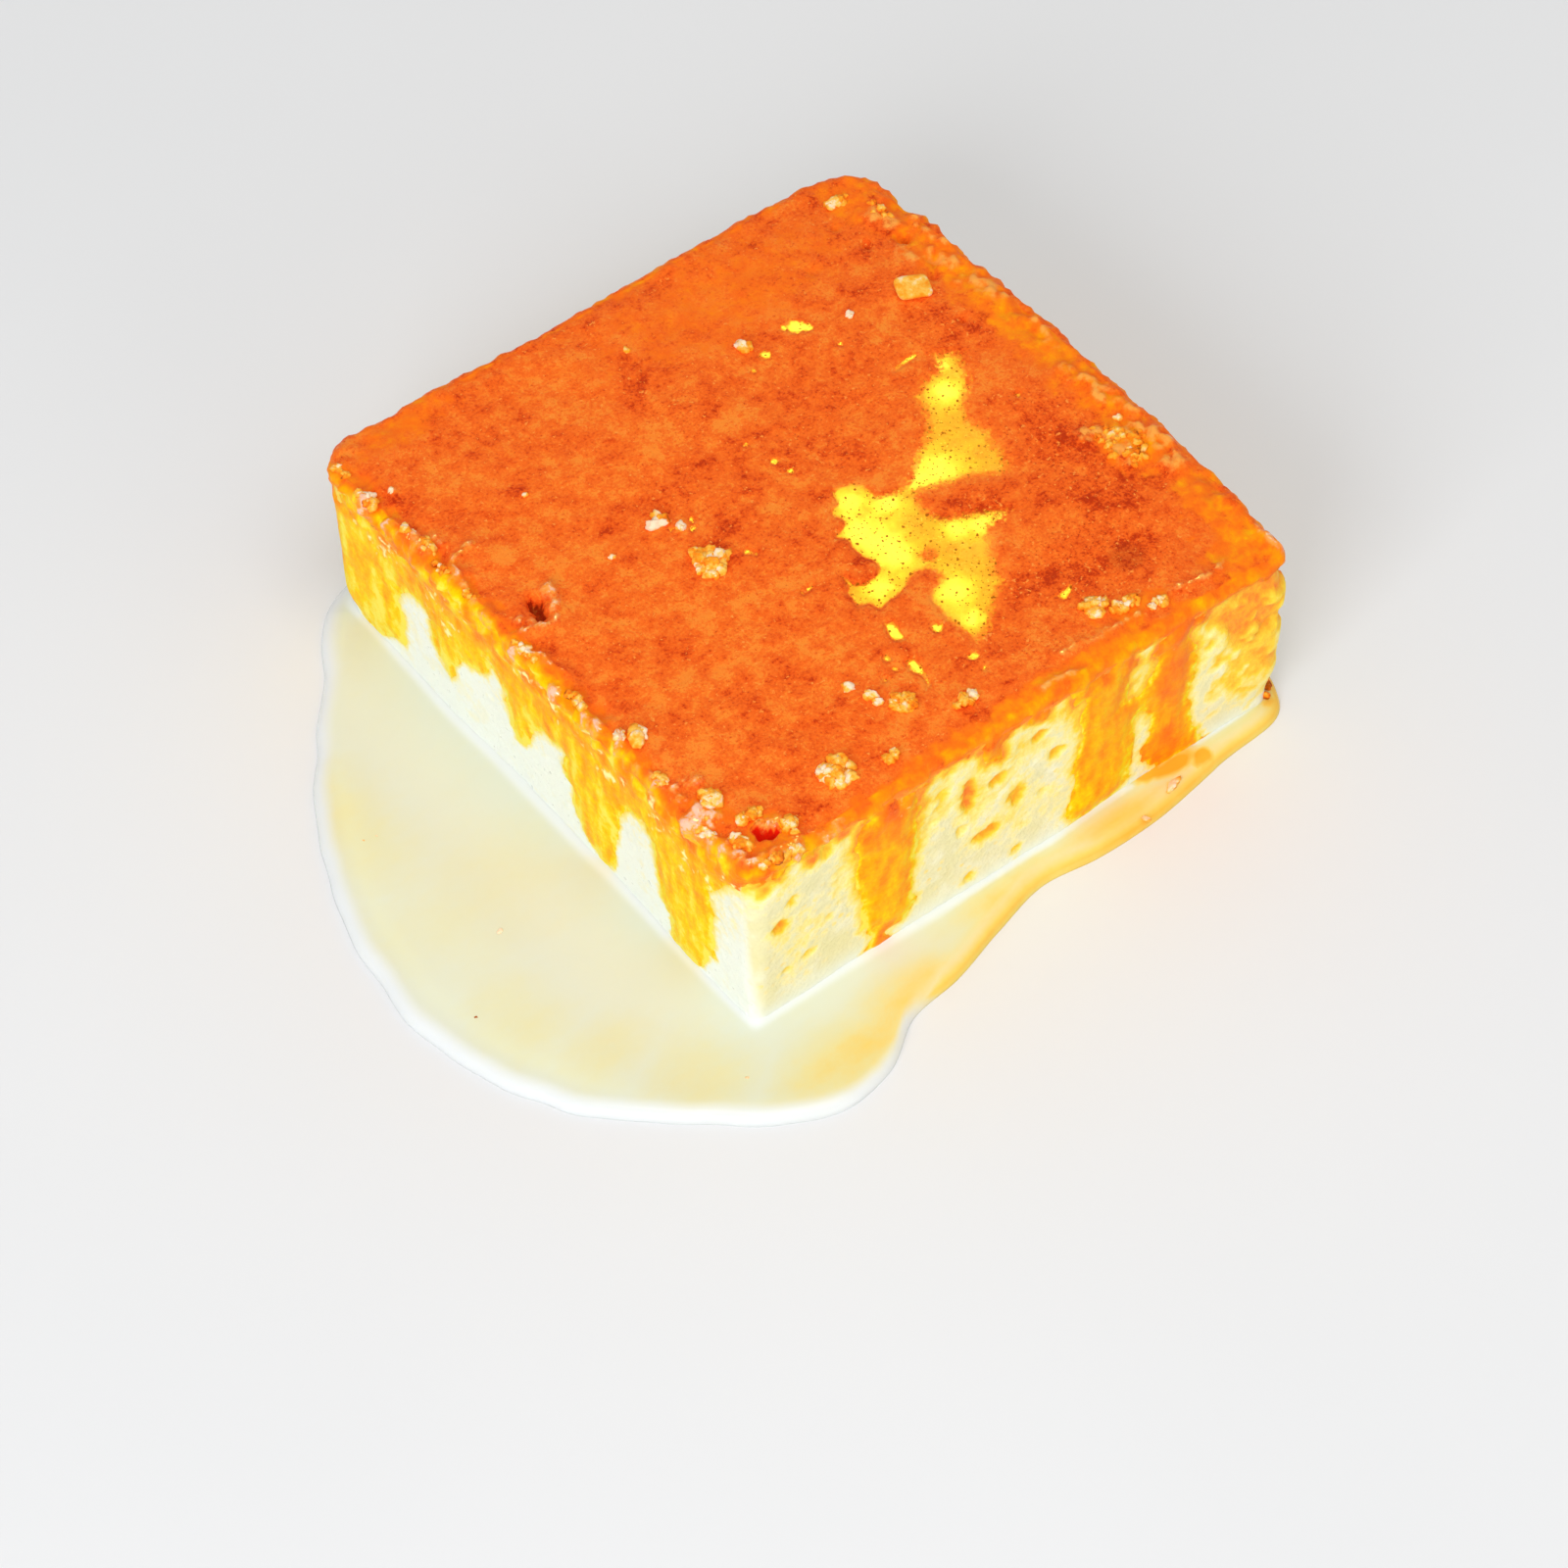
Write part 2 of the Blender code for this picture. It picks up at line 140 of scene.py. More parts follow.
def smooth(value, low, high):
    """Rises from 0 at low to 1 at high, level at both ends."""
    share = np.clip((value - low) / (high - low), 0, 1)
    return share * share * (3 - 2 * share)


def bowl(away):
    """Depth of a round hollow at this share of the way from its middle to its rim."""
    return np.sqrt(np.clip(1 - away**2, 0, 1))


def rough(points, size, seed):
    """Smooth unevenness between about -1 and 1 at each point, with humps of this size."""
    places = (points / size + (0, 0, seed)).reshape(-1, 3).tolist()
    return np.array([noise.noise(place) for place in places]).reshape(points.shape[:-1])


def cell_distance(points, size, seed):
    """Distance from each point to the nearest of many scattered cell middles, as a share of their size."""
    places = (points / size + (0, 0, seed)).reshape(-1, 3).tolist()
    return np.array([noise.voronoi(place)[0][0] for place in places]).reshape(points.shape[:-1])


def flat(x, y):
    """Points on the table plane."""
    return np.stack([x, y, 0 * x], axis=-1)


def slab_outline(places):
    """Points of the slab's outline at these places round it, and the outward way at each."""
    points = np.zeros((len(places), 2))
    ways = np.zeros((len(places), 2))
    start = 0.0
    for turn, along in enumerate(((1, 0), (0, 1), (-1, 0), (0, -1))):
        along = np.array(along)
        outward = np.array([along[1], -along[0]])
        before, after = CORNER_ROUND[turn - 1], CORNER_ROUND[turn]
        reach, depth = (SLAB_X / 2, SLAB_Y / 2) if turn % 2 == 0 else (SLAB_Y / 2, SLAB_X / 2)
        end = start + 2 * reach - before - after
        straight = (places >= start) & (places < end)
        points[straight] = outward * depth + np.outer(before - reach + places[straight] - start, along)
        ways[straight] = outward
        start, end = end, end + after * math.pi / 2
        corner = (places >= start) & (places < end + 1e-6)
        turned = (places[corner] - start) / after
        ways[corner] = np.outer(np.cos(turned), outward) + np.outer(np.sin(turned), along)
        points[corner] = along * (reach - after) + outward * (depth - after) + ways[corner] * after
        start = end
    return points, ways


def slab_share(x, y):
    """How far out towards the slab's sides each point lies, in X and in Y."""
    return 2 * np.abs(x) / SLAB_X, 2 * np.abs(y) / SLAB_Y


def corner_drop(x, y):
    """How far the cake sinks towards its left and right corners."""
    far_x, far_y = slab_share(x, y)
    return np.where(x * y < 0, CORNER_DROP * (far_x * far_y) ** 2, 0)


def columns_round():
    """Places round the cake at which every ring is cut, as many from each corner's middle to the next."""
    middle = -CORNER_ROUND[-1] * math.pi / 4
    found = []
    for turn, side in enumerate((SLAB_X, SLAB_Y, SLAB_X, SLAB_Y)):
        quarter = side - (1 - math.pi / 4) * (CORNER_ROUND[turn - 1] + CORNER_ROUND[turn])
        found.append(np.linspace(middle, middle + quarter, QUARTER_COLUMNS, endpoint=False))
        middle += quarter
    return np.concatenate(found) % PERIMETER


def cut_side(height, clearance):
    """Points this far out from the slab's cut side at these heights, one column for each place round it."""
    lean = FOOT_TAPER * np.minimum(0, height / SPONGE_TOP - 1) + clearance
    place = outline + ways * lean[..., None]
    return np.concatenate([place, height[..., None] + 0 * place[..., :1]], axis=-1)


def numbered(points, first=0):
    """Numbers for a block of points, from the first on."""
    shape = points.shape[:2]
    return first + np.arange(shape[0] * shape[1]).reshape(shape)


def belt(number):
    """Quads between rings of points, given by their numbers, from the lowest ring up."""
    after = np.roll(number, -1, axis=1)
    return np.stack([number[:-1], after[:-1], after[1:], number[1:]], axis=-1).reshape(-1, 4)


def placed(name, data):
    """A new object of this data, put in the scene."""
    thing = bpy.data.objects.new(name, data)
    bpy.context.scene.collection.objects.link(thing)
    return thing


def new_piece(name, points, quads, material, marks, caps=()):
    """A smooth piece of the points that its faces use, with these marks kept on its points."""
    used = np.unique(np.concatenate([quads.ravel(), *caps]))
    number = np.zeros(len(points), int)
    number[used] = np.arange(len(used))
    faces = number[quads].tolist() + [number[cap].tolist() for cap in caps]
    mesh = bpy.data.meshes.new(name)
    mesh.from_pydata(points[used] * MM, [], faces)
    for mark, values in marks.items():
        kept = mesh.attributes.new(mark, "FLOAT", "POINT")
        kept.data.foreach_set("value", values.ravel()[used].astype(np.float32))
    mesh.materials.append(material)
    mesh.shade_smooth()
    piece = placed(name, mesh)
    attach(piece, "root")
    return piece


class Tone:
    """One output socket in a material. Arithmetic on it adds Math nodes, so a finish reads as a formula."""

    def __init__(self, socket):
        self.socket = socket

    def node(self, kind, settings, sockets, output=0):
        """Adds another node to this material: its settings first, then its sockets, values or tones."""
        tree = self.socket.id_data
        made = tree.nodes.new("ShaderNode" + kind)
        for name, value in settings.items():
            if name == "stops":
                for place, shade in value[1:-1]:
                    made.color_ramp.elements.new(place)
                for element, (place, shade) in zip(made.color_ramp.elements, value):
                    element.position, element.color = place, shade
            else:
                setattr(made, name, value)
        shown = [socket for socket in made.inputs if socket.enabled]
        for key, value in sockets.items():
            target = shown[key] if isinstance(key, int) else made.inputs[key]
            if isinstance(value, Tone):
                tree.links.new(value.socket, target)
            else:
                target.default_value = value
        return Tone([socket for socket in made.outputs if socket.enabled][output])

    def maths(self, operation, first, second):
        return self.node("Math", {"operation": operation}, {0: first, 1: second})

    def __add__(self, other):
        return self.maths("ADD", self, other)

    def __sub__(self, other):
        return self.maths("SUBTRACT", self, other)

    def __mul__(self, other):
        return self.maths("MULTIPLY", self, other)

    def __rsub__(self, other):
        return self.maths("SUBTRACT", other, self)

    __radd__ = __add__
    __rmul__ = __mul__

    def vector(self, operation, other):
        """Vector Math of this vector with another, or with a number."""
        return self.node("VectorMath", {"operation": operation}, {0: self, 1: other})

    def grain(self, size, detail=2, roughness=0.5):
        """Noise of this size in millimetres at this place, about 0.5."""
        sockets = {"Vector": self, "Scale": 1 / size, "Detail": detail, "Roughness": roughness}
        return self.node("TexNoise", {}, sockets)

    def swing(self, amount):
        """This noise as a swing to either side of 0, this strong."""
        return (self - 0.5) * amount

    def cells(self, size):
        """Distance from the nearest of many scattered cell middles, as a share of their size."""
        return self.node("TexVoronoi", {}, {"Vector": self, "Scale": 1 / size})

    def dots(self, size, radius, turn=(0, 0, 0)):
        """1 within this radius of scattered dots on the plane that the turn makes level, and 0 off them."""
        sockets = {"Vector": self, "Rotation": turn}
        level = self.node("VectorRotate", {"rotation_type": "EULER_XYZ"}, sockets)
        away = level.node("TexVoronoi", {"voronoi_dimensions": "2D"}, {"Vector": level, "Scale": 1 / size})
        return 1 - away.between(radius / size, 1.5 * radius / size)

    def between(self, low, high):
        """0 below low, 1 above high, and smooth from the one to the other."""
        return self.node("MapRange", {"interpolation_type": "SMOOTHSTEP"}, {0: self, 1: low, 2: high})

    def blend(self, low, high):
        """The screen colour or tone low where this is 0, and high where it is 1."""
        low, high = [shade if isinstance(shade, Tone) else colour(*shade) for shade in (low, high)]
        return self.node("Mix", {"data_type": "RGBA"}, {0: self, 1: low, 2: high})

    def ramp(self, shades):
        """The colour at this number, between screen colours given from the lowest number up."""
        stops = [(place, colour(*shade)) for place, shade in shades.items()]
        return self.node("ValToRGB", {"stops": stops}, {0: self})

    def marks(self, *names):
        """Numbers that the mesh carries on its points."""
        return [self.node("Attribute", {"attribute_name": name}, {}, 2) for name in names]

    def relief(self, height, depth):
        """A fine unevenness of the surface, this many millimetres deep."""
        return self.node("Bump", {}, {"Height": height, "Strength": 1, "Distance": depth * MM})


def new_finish(name, constants):
    """A material of one shader with these constants, and the place on the object in millimetres."""
    material = bpy.data.materials.new(name)
    material.use_nodes = True
    tree = material.node_tree
    for socket, value in constants.items():
        tree.nodes["Principled BSDF"].inputs[socket].default_value = value
    place = Tone(tree.nodes.new("ShaderNodeTexCoord").outputs["Object"])
    return material, place.vector("SCALE", 1 / MM)


def finish_with(material, tones):
    """The material, with what changes over the surface linked to its shader."""
    tree = material.node_tree
    for socket, tone in tones.items():
        tree.links.new(tone.socket, tree.nodes["Principled BSDF"].inputs[socket])
    return material


def soaked_crumb():
    """Moist sponge: cream crumb, whiter in the milk low down and as painted light up the lit left side,
    stained by caramel where that has run.
    """
    constants = {"Specular IOR Level": 0.35, "Subsurface Weight": 0.12, "Subsurface Scale": 1.5 * MM}
    constants["Subsurface Radius"] = (1, 0.8, 0.5)
    material, place = new_finish("soaked_crumb", constants)
    pit, soaked, height = place.marks("pit", "soaked", "height")
    crumb = place.grain(1.1, 4, 0.62)
    cloud = place.grain(6, 3)
    # Low on the height mark the crumb is milky white: at the foot, and far up the left side as painted
    # light
    body = height.between(1.5, 9).blend(MILKY_FOOT_AND_LIT_WHITE, cloud.between(0.35, 0.65).blend(CREAM, LIGHT_CREAM))
    white = (cloud + place.grain(2.2, 3).swing(0.8)).between(0.5, 0.68)
    body = (white * 0.55).blend(body, WHITE_GRAIN)
    body = (pit.between(0.35, 1) * height.between(3, 14)).blend(body, PIT_CREAM)
    small_pores = place.vector("ADD", crumb * 0.9).dots(2.1, 0.3, (math.pi / 2, 0, 0))
    small_pores = small_pores * cloud.between(0.42, 0.6) * height.between(5, 12)
    body = small_pores.blend(body, SMALL_PORE_CREAM)
    stain = soaked + (crumb.swing(0.3 + 0.7 * soaked) + cloud.swing(0.3))
    tones = {"Base Color": stain.between(0.04, 0.2).blend(body, stain.ramp(SOAKED_SHADES))}
    tones["Roughness"] = 0.62 - 0.3 * (1 - height.between(2, 12)) + crumb.swing(0.3)
    tones["Normal"] = place.relief(place.grain(0.45, 3, 0.6) + 0.6 * place.cells(0.8), 0.11)
    return finish_with(material, tones)


walked = columns_round()
outline, ways = slab_outline(walked)
outline_flat = flat(*outline.T)
side_wave = rough(outline_flat, 24, 1.5) + 0.4 * rough(outline_flat, 9, 4.5)
outline = outline + ways * SIDE_WAVE * side_wave[:, None]
outline_x, outline_y = outline.T
# X along the right side at every column, carried on round its corners
right_x = np.where(walked > LEFT_MIDDLE, walked - PERIMETER, walked) - RIGHT_MIDDLE
# How far each column faces the left and right sides, and how near it stands to two corners
on_left = np.clip(-ways[:, 0], 0, 1) ** 2
on_right = np.clip(-ways[:, 1], 0, 1) ** 2
right_corner = smooth(outline_x - outline_y, *RIGHT_CORNER)
left_corner = smooth(outline_y - outline_x, *LEFT_CORNER)

slab_top = SPONGE_TOP - TOP_TILT * outline.sum(axis=1) - corner_drop(*outline.T)
crumb_top = slab_top + CRUMB_RISE
level = np.linspace(0, 1, SIDE_ROWS + 1)[:, None] * (crumb_top - SHOULDER)
side = cut_side(level, PUFF)
open_crumb = (FOOT_PITS + (1 - FOOT_PITS) * smooth(level, *PITS_DEEPEN)) * (1 - RIGHT_CLOSER * on_right)
crumb_depth = sum(depth * (0.5 + 0.5 * rough(side, size, size)) for size, depth in HUMPS)
for size, radius, depth in PIT_CELLS:
    crumb_depth += depth * open_crumb * bowl(cell_distance(side, size, 0) / radius)
pore_caramel = np.zeros(level.shape)
for x, z, half_width, half_height, full in PORES:
    away = np.hypot((right_x - x) / half_width, (level - z) / half_height) / PORE_GROWTH
    away = away * (1 + 0.35 * rough(side, 1.3, x)) + 0.2 * rough(side, 0.8, z)
    pore_depth = (PORE_DEPTH + 0.35 * min(half_width, 1.1)) * bowl(away)
    crumb_depth = np.maximum(crumb_depth, 0.2 + pore_depth)
    pore_caramel = np.maximum(pore_caramel, min(1, PORE_FULLER * full) * (1 - smooth(away, 0.5, 1.6)))
    pore_caramel = np.maximum(pore_caramel, PORE_HALO * full * (1 - smooth(away, 1, 3.4)))
soaked_place = np.zeros(level.shape)
for x, z, half_length, half_width, slope, strength in SOAKED_PLACES:
    turn = math.radians(slope)
    over, above = right_x - x, level - z
    along = over * math.cos(turn) + above * math.sin(turn)
    aside = above * math.cos(turn) - over * math.sin(turn)
    away = np.hypot(along / half_length, aside / half_width) + 0.35 * rough(side, 2.2, slope)
    soaked_place = np.maximum(soaked_place, strength * (1 - smooth(away, 0.2, 1.4)))
chunk = smooth(rough(side, 3, 31) + 0.5 * rough(side, 1.3, 32), -0.05, 0.4)
crumb_depth += SOAKED_SINK * soaked_place * (1 - chunk) * open_crumb
crumb_depth -= RIGHT_BULGE * right_corner * smooth(level, 2, 9) * (1 - smooth(level, 22, 27))
crumb_depth -= LEFT_BULGE * left_corner * smooth(level, 1, 7)
pore_caramel = np.maximum(pore_caramel, soaked_place * (1 - CHUNK_PALER * chunk))
crumb_depth[0] = FOOT_DEPTH

crumb_rings = [
    cut_side(level, PUFF - crumb_depth),
    cut_side(crumb_top[None] - 0.3 * SHOULDER, PUFF - 0.3 * SHOULDER),
    cut_side(crumb_top[None], PUFF - SHOULDER),
    cut_side(slab_top[None] - SINK, PUFF - INSET),
]
crumb_points = np.concatenate(crumb_rings)
crumb_numbers = numbered(crumb_points)
under_caramel = np.zeros((3, len(walked)))
# The height mark, lowered on the left side to paint that lit side lighter, and raised on the right
milky_and_lit_height = level * (1 - LEFT_PAINTED_LIGHTER * on_left) + RIGHT_DRIER * on_right
sponge = new_piece(
    "sponge_crumb",
    crumb_points.reshape(-1, 3),
    belt(crumb_numbers),
    soaked_crumb(),
    {
        "pit": np.concatenate([crumb_depth, under_caramel]),
        "soaked": np.concatenate([pore_caramel, under_caramel + 1]),
        "height": np.concatenate([milky_and_lit_height, under_caramel + SPONGE_TOP]),
    },
    (crumb_numbers[0][::-1], crumb_numbers[-1]),
)
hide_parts("sponge")

# The caramel: burnt sugar let down with milk, poured over the soaked sponge. It has set to a soft wet
# layer with bits of crumb in it, and it has run and soaked down the cut sides in ragged drips.
LAYER = 2.7
RIPPLE = 0.35
GRAIN = 0.09
EDGE_LUMPS = 0.45
# How far the layer stands out over the crumb: less on the right side and at two corners, more elsewhere
OVERHANG = 1.05
RIGHT_TUCK = 0.7
RIGHT_CORNER_TUCK = 0.5
NEAR_CORNER_TUCK = 0.45
NEAR_CORNER = (68, 80)
LEFT_SWELL = 0.35
FAR_SWELL = 1.2
FAR_LUMPS = 0.5
EDGE_ROUND = 1.3
ROUND_STEPS = 7
LIP_ROWS = 4
# The drips lie this thick on the crumb, slope down to their border and tuck under it. An inner skin
# closes them behind, and lies this far off the crumb under the layer.
DRIP_THICKNESS = 0.26
DRIP_UNEVEN = 0.08
DRIP_CLEARANCE = 0.05
BORDER_SLOPE = 0.4
TUCK = 1.1
SKIN_DEPTH = 0.7
CEILING_GAP = 0.3
# The lip's border is ragged this far, fading within this height. No caramel ends lower than one height or
# nearer to the crest than another, and its outline closes well above the cake.
RAGGED_EDGE = 3.4
RAGGED_DROP = 5
LOWEST_CARAMEL = 1.2
CREST_GAP = 0.9
OUTLINE_TOP = 90
# How craggy the layer's broken edge is all round, and more so on three sides, and how far down its side
# and in from its edge the crags reach
CRAGGY = 0.35
LEFT_CRAGGY = 0.65
FAR_CRAGGY = 0.35
RIGHT_CRAGGY = 0.2
CRAG_DROP = 3.6
CRAG_INSET = 1.9
# A ridge stands out from the side by this share of its height, and reaches this far down
RIDGE_OUT = 0.6
RIDGE_DROP = 1.6
# How much caramel there is: 1 on top, less down the sides, which drain, and least under the skin
LIP_TINT = 0.58
ROUND_TINT = 0.26
LIP_CLUMPS = 0.42
LEFT_CORNER_PALER = 0.05
HIDDEN_TINT = 0.1
# Where the caramel ends on the left side, as (Y, height), from the left corner to the near one
LEFT_LINE = (
    (49, 22), (46.5, 12), (44.5, 5.5), (41.9, 4), (36.9, 1.8), (34, 2), (31.6, 4), (28.6, 4.6), (28.2, 7.1),
    (28.2, 10.2), (29, 13.4), (28.1, 15.9), (26.2, 18), (23.4, 17.8), (22, 16.5), (21.8, 13.4),
    (20.9, 10.9), (18.4, 8.7), (17.5, 10.2), (16.6, 12.8), (15.3, 15.2), (12.5, 15.9), (10.6, 17.1),
    (9.1, 20), (7.5, 18.7), (6.3, 15.2), (5.9, 10.9), (5, 9.3), (3.4, 9.6), (1.9, 12.1), (1.2, 15.2),
    (-0.9, 17.1), (-5, 16.8), (-4.4, 13.4), (-6.2, 11.5), (-6.2, 7.8), (-8.1, 4), (-10.9, 1.8), (-14, 2.4),
    (-14.7, 6.5), (-15.3, 10.9), (-15.9, 15.2), (-17.5, 18.4), (-20.6, 19.9), (-22.8, 17.8), (-23.1, 13.4),
    (-24, 7.8), (-25.6, 5.9), (-25.9, 1.5), (-30, 0.9), (-32.5, 2.8), (-33.4, 6.5), (-35.3, 7.1),
    (-34.7, 11.5), (-35, 15.9), (-34.4, 20.3), (-36.3, 22.8), (-38.1, 25.9), (-41.9, 28),
)
# The same on the right side, as (X, height), from the near corner to the right one and past it
RIGHT_LINE = (
    (-41.3, 31.2), (-38.1, 30.9), (-35.6, 32.1), (-32.5, 31.6), (-26.9, 31.8), (-25.6, 28.4), (-25.9, 24.6),
    (-25, 21.5), (-25.9, 18.4), (-24.7, 13.4), (-24.4, 7.1), (-22.8, 5.6), (-22.6, 4), (-24.1, 2),
    (-21.6, 1), (-19.4, 0.9), (-20.9, 3.4), (-17.5, 3.7), (-15.9, 5.9), (-16.9, 9), (-16.6, 13.4),
    (-15.9, 17.8), (-16.6, 22.1), (-15, 24.6), (-15.6, 30.2), (-13.8, 31.8), (-10, 32.1), (-8.8, 30.2),
    (-9.1, 27.8), (-6.2, 25.2), (-3.8, 24), (-2.5, 27.1), (-1.2, 29.6), (1.2, 30.6), (4.4, 29.3),
    (6.9, 26.5), (8.4, 22.8), (8.8, 17.8), (7.5, 13.4), (8.1, 9.6), (6.9, 4), (8.1, 1.8), (11.2, 1.2),
    (14.4, 1), (17.5, 2.8), (17.8, 7.8), (17.6, 12.4), (18.1, 15.9), (20.3, 13.4), (20.3, 9), (18.8, 7.1),
    (19.4, 4.6), (22.5, 1), (30.6, 1), (29.4, 1.5), (27.5, 5.9), (26.6, 10.2), (26.6, 15.2), (27.2, 21.5),
    (27.5, 27.8), (28.4, 30.9), (31.9, 31.5), (36, 27.5), (39.5, 25), (41.5, 20), (44.5, 17), (48.5, 19),
    (53, 25),
)
# A streak of bare crumb inside the wide drip: its outline on the right side
BARE_STREAK = (
    (17.6, 30.9), (20.9, 30.4), (20.2, 26), (19.7, 20.9), (17.9, 19), (16, 20.4), (17, 24.5),
)
# Where the drips on the right side are redder, as (X, height, half width, half height, by how much)
REDDER_PLACES = (
    (23.5, 20, 3.4, 11, 0.22), (22.5, 5.5, 4, 5, 0.34), (-20.5, 26, 4.5, 6, 0.12),
    (-20.5, 2.5, 2.6, 2.6, 0.4), (16, 22, 2, 6, 0.12),
)
# The drips of the far sides: their number on each, their widths, and the heights of their tips, of which
# some are the lowest. Between them the layer hangs this far. The shape of one is given as (share of its
# width, share of the way up, extra height).
HIDDEN_SEED = 11
HIDDEN_DRIPS = 4
HIDDEN_WIDTH = (5, 8)
HIDDEN_TIP = (6, 16)
LOWEST_TIP = 2.5
FAR_HANG = 2.4
HIDDEN_SHAPE = (
    (-1, 1, 0), (-0.62, 0.45, 0), (-0.35, 0, 1.2), (0, 0, 0), (0.3, 0, 1.5), (0.55, 0.5, 0), (1, 1, -1),
)
# The wet film on top that mirrors the light, as outlines in X and Y: one patch and the spots round it
WET_PATCH = (
    (27.3, 9.7), (29.6, 9.1), (30.9, 7.5), (29.6, 5), (28.6, 2.6), (25.6, 0), (24.5, -2.3), (25.3, -4.9),
    (24.3, -8.4), (23.3, -11.7), (21, -11.6), (18.8, -9.9), (16.4, -9.1), (13.5, -8.3), (11.6, -7.6),
    (10.9, -9.8), (11.5, -12.3), (14.2, -13.7), (17, -15), (19.1, -16.7), (16.4, -17.3), (15, -17.6),
    (13.2, -20.2), (11.8, -23.2), (10.8, -25.7), (8.2, -27.3), (6, -29.2), (4, -30.6), (3, -30.7),
    (1.7, -31.7), (1.9, -30.1), (1.5, -27.5), (1.5, -24.7), (1.8, -22), (3.1, -20.7), (5, -20.1),
    (4.7, -18.3), (3.3, -17.8), (-0.3, -19.2), (-2.2, -19.2), (-4, -19.8), (-4.2, -18.2), (-5.8, -17.7),
    (-5.5, -15.2), (-3.8, -11.9), (-3.7, -14.2), (-2.4, -15.2), (-0.4, -14.9), (0.5, -13.3), (-0.3, -12.1),
    (-0.3, -9.8), (0.1, -8.6), (-1.1, -7.1), (1.7, -6.1), (1, -3.6), (2.9, -2.8), (3.5, -0.7), (6.5, -1.2),
    (7.4, -2.7), (7.3, -4.8), (10.1, -5.6), (12.4, -4.6), (14.9, -2.5), (18.1, -0.4), (20.4, 2.3),
    (21.3, 5.5), (24, 6.9), (26.1, 7), (27.1, 8.4),
)
WET_SPOTS = (
    ((21.9, 10.4), (24, 11.1), (26.3, 11.3), (26, 10.3), (23.8, 10.2), (22.3, 10)),
    ((13.7, -30.7), (15.5, -30.6), (17.2, -30.2), (16.4, -31.5), (14.6, -32.2)),
    ((-4.8, -21.4), (-3.6, -22), (-3.8, -23.5), (-4, -25.3), (-5.7, -24.7), (-5.5, -22.9)),
    ((-6.7, -27.7), (-5.4, -28), (-5.3, -29.9), (-5.8, -30.7), (-6, -32.2), (-7.3, -33.1), (-6.4, -31.2),
     (-7.2, -29.6)),
)
# Smaller wet spots, as (X, Y, radius)
WET_SPECKS = (
    (-8, -26.1, 0.5), (-8.3, -28, 0.4), (0.2, -32.2, 0.5), (0.1, -34.4, 0.35), (31.7, -2.4, 0.35),
    (-8.3, -11.7, 0.35), (-9.3, -11.9, 0.3), (19.9, 18, 0.4), (17.4, 23.9, 0.9), (18.4, 22.9, 0.6),
    (16.1, 24.6, 0.4), (-4.2, -16.6, 0.35), (-0.3, -26, 0.6), (-10.4, -28.7, 0.3), (1.1, 7.4, 0.45),
    (1.6, 4.9, 0.4), (-12.6, 5.9, 0.4), (-13.4, 4.6, 0.35), (-10.5, -2.4, 0.4), (-9.9, -3.3, 0.35),
    (0.1, 11.7, 0.3), (11.4, 22.4, 0.6), (8.5, 21.2, 0.4), (-15.6, 6.3, 0.3), (34.9, 37.4, 0.35),
)
# How soon a spot and a speck are wet in from their outline, and how far the specks have spread
SPOT_FRINGE = 0.4
SPECK_FRINGE = 0.3
SPECK_GROWTH = 1.4
# Duller places in the wet patch, as (X, Y, half width, half depth, how dull)
DULL_PLACES = (
    (6.3, -16.3, 1.4, 1.4, 0.9), (3.4, -19, 1.6, 1.6, 0.95), (-1.7, -13.5, 1.5, 1.5, 1),
    (12, -4.2, 2, 2, 0.3),
)
# The brightest places in it, as (X, Y, radius), where it is also painted yellow as a highlight
BRIGHT_PLACES = (
    (24.9, 3.5, 2.6), (16.3, -6, 3.4), (13, -5.6, 2.2), (4, -3.7, 2.4), (7.8, -6.6, 2.4), (3, -10.8, 3.4),
    (3.2, -14.2, 2.8), (11.5, -15, 2), (14.6, -16.3, 2.2), (17.5, -16.9, 1.4), (5.1, -22.7, 3.2),
    (3.8, -27.6, 1.8), (-1.7, -16.9, 2.4), (27.5, 7.6, 1.5), (2, -8, 2.4),
)
# Darker places where the caramel is thick or burnt, as (X, Y, half width, half depth, how dark)
DARK_PLACES = (
    (31, -15, 9, 15, 0.9), (21, -28, 12, 8, 1), (25, -31, 7, 6, 1.3), (16, -13, 7, 4, 0.8),
    (-3, 23, 6, 8, 0.55), (-12, 6, 6, 12, 0.35), (11, 9, 14, 9, 0.45), (34, 12, 7, 6, 0.65),
    (35, 34, 7, 8, 0.5), (-5, -4, 6, 9, 0.4), (5, -34, 9, 4, 0.4), (20, 32, 9, 6, 0.35),
    (-28, -20, 9, 8, 0.15),
)
# Hollows in the layer, as (X, Y, radius, depth, 1 where it shows red inside). Those that are not red are
# painted dark inside, as shade.
HOLLOWS = (
    (-35.6, 6.6, 1.5, 1.9, 0), (-36, 4.9, 1.2, 1.6, 0), (-36, -38.2, 1.15, 1.5, 1),
    (-35.3, -38.6, 1.1, 1.5, 1), (37.8, 27.8, 1.3, 1.1, 0), (33.4, 29.8, 0.9, 0.7, 0),
    (38.4, 22.6, 1.3, 1.1, 0), (36.6, 20.4, 1, 0.7, 0), (32.1, 34.7, 0.8, 0.5, 0), (34.5, 11.9, 1, 0.55, 0),
    (38.6, -14.6, 1, 0.5, 0), (25.3, 30.2, 1.2, 0.4, 0),
)
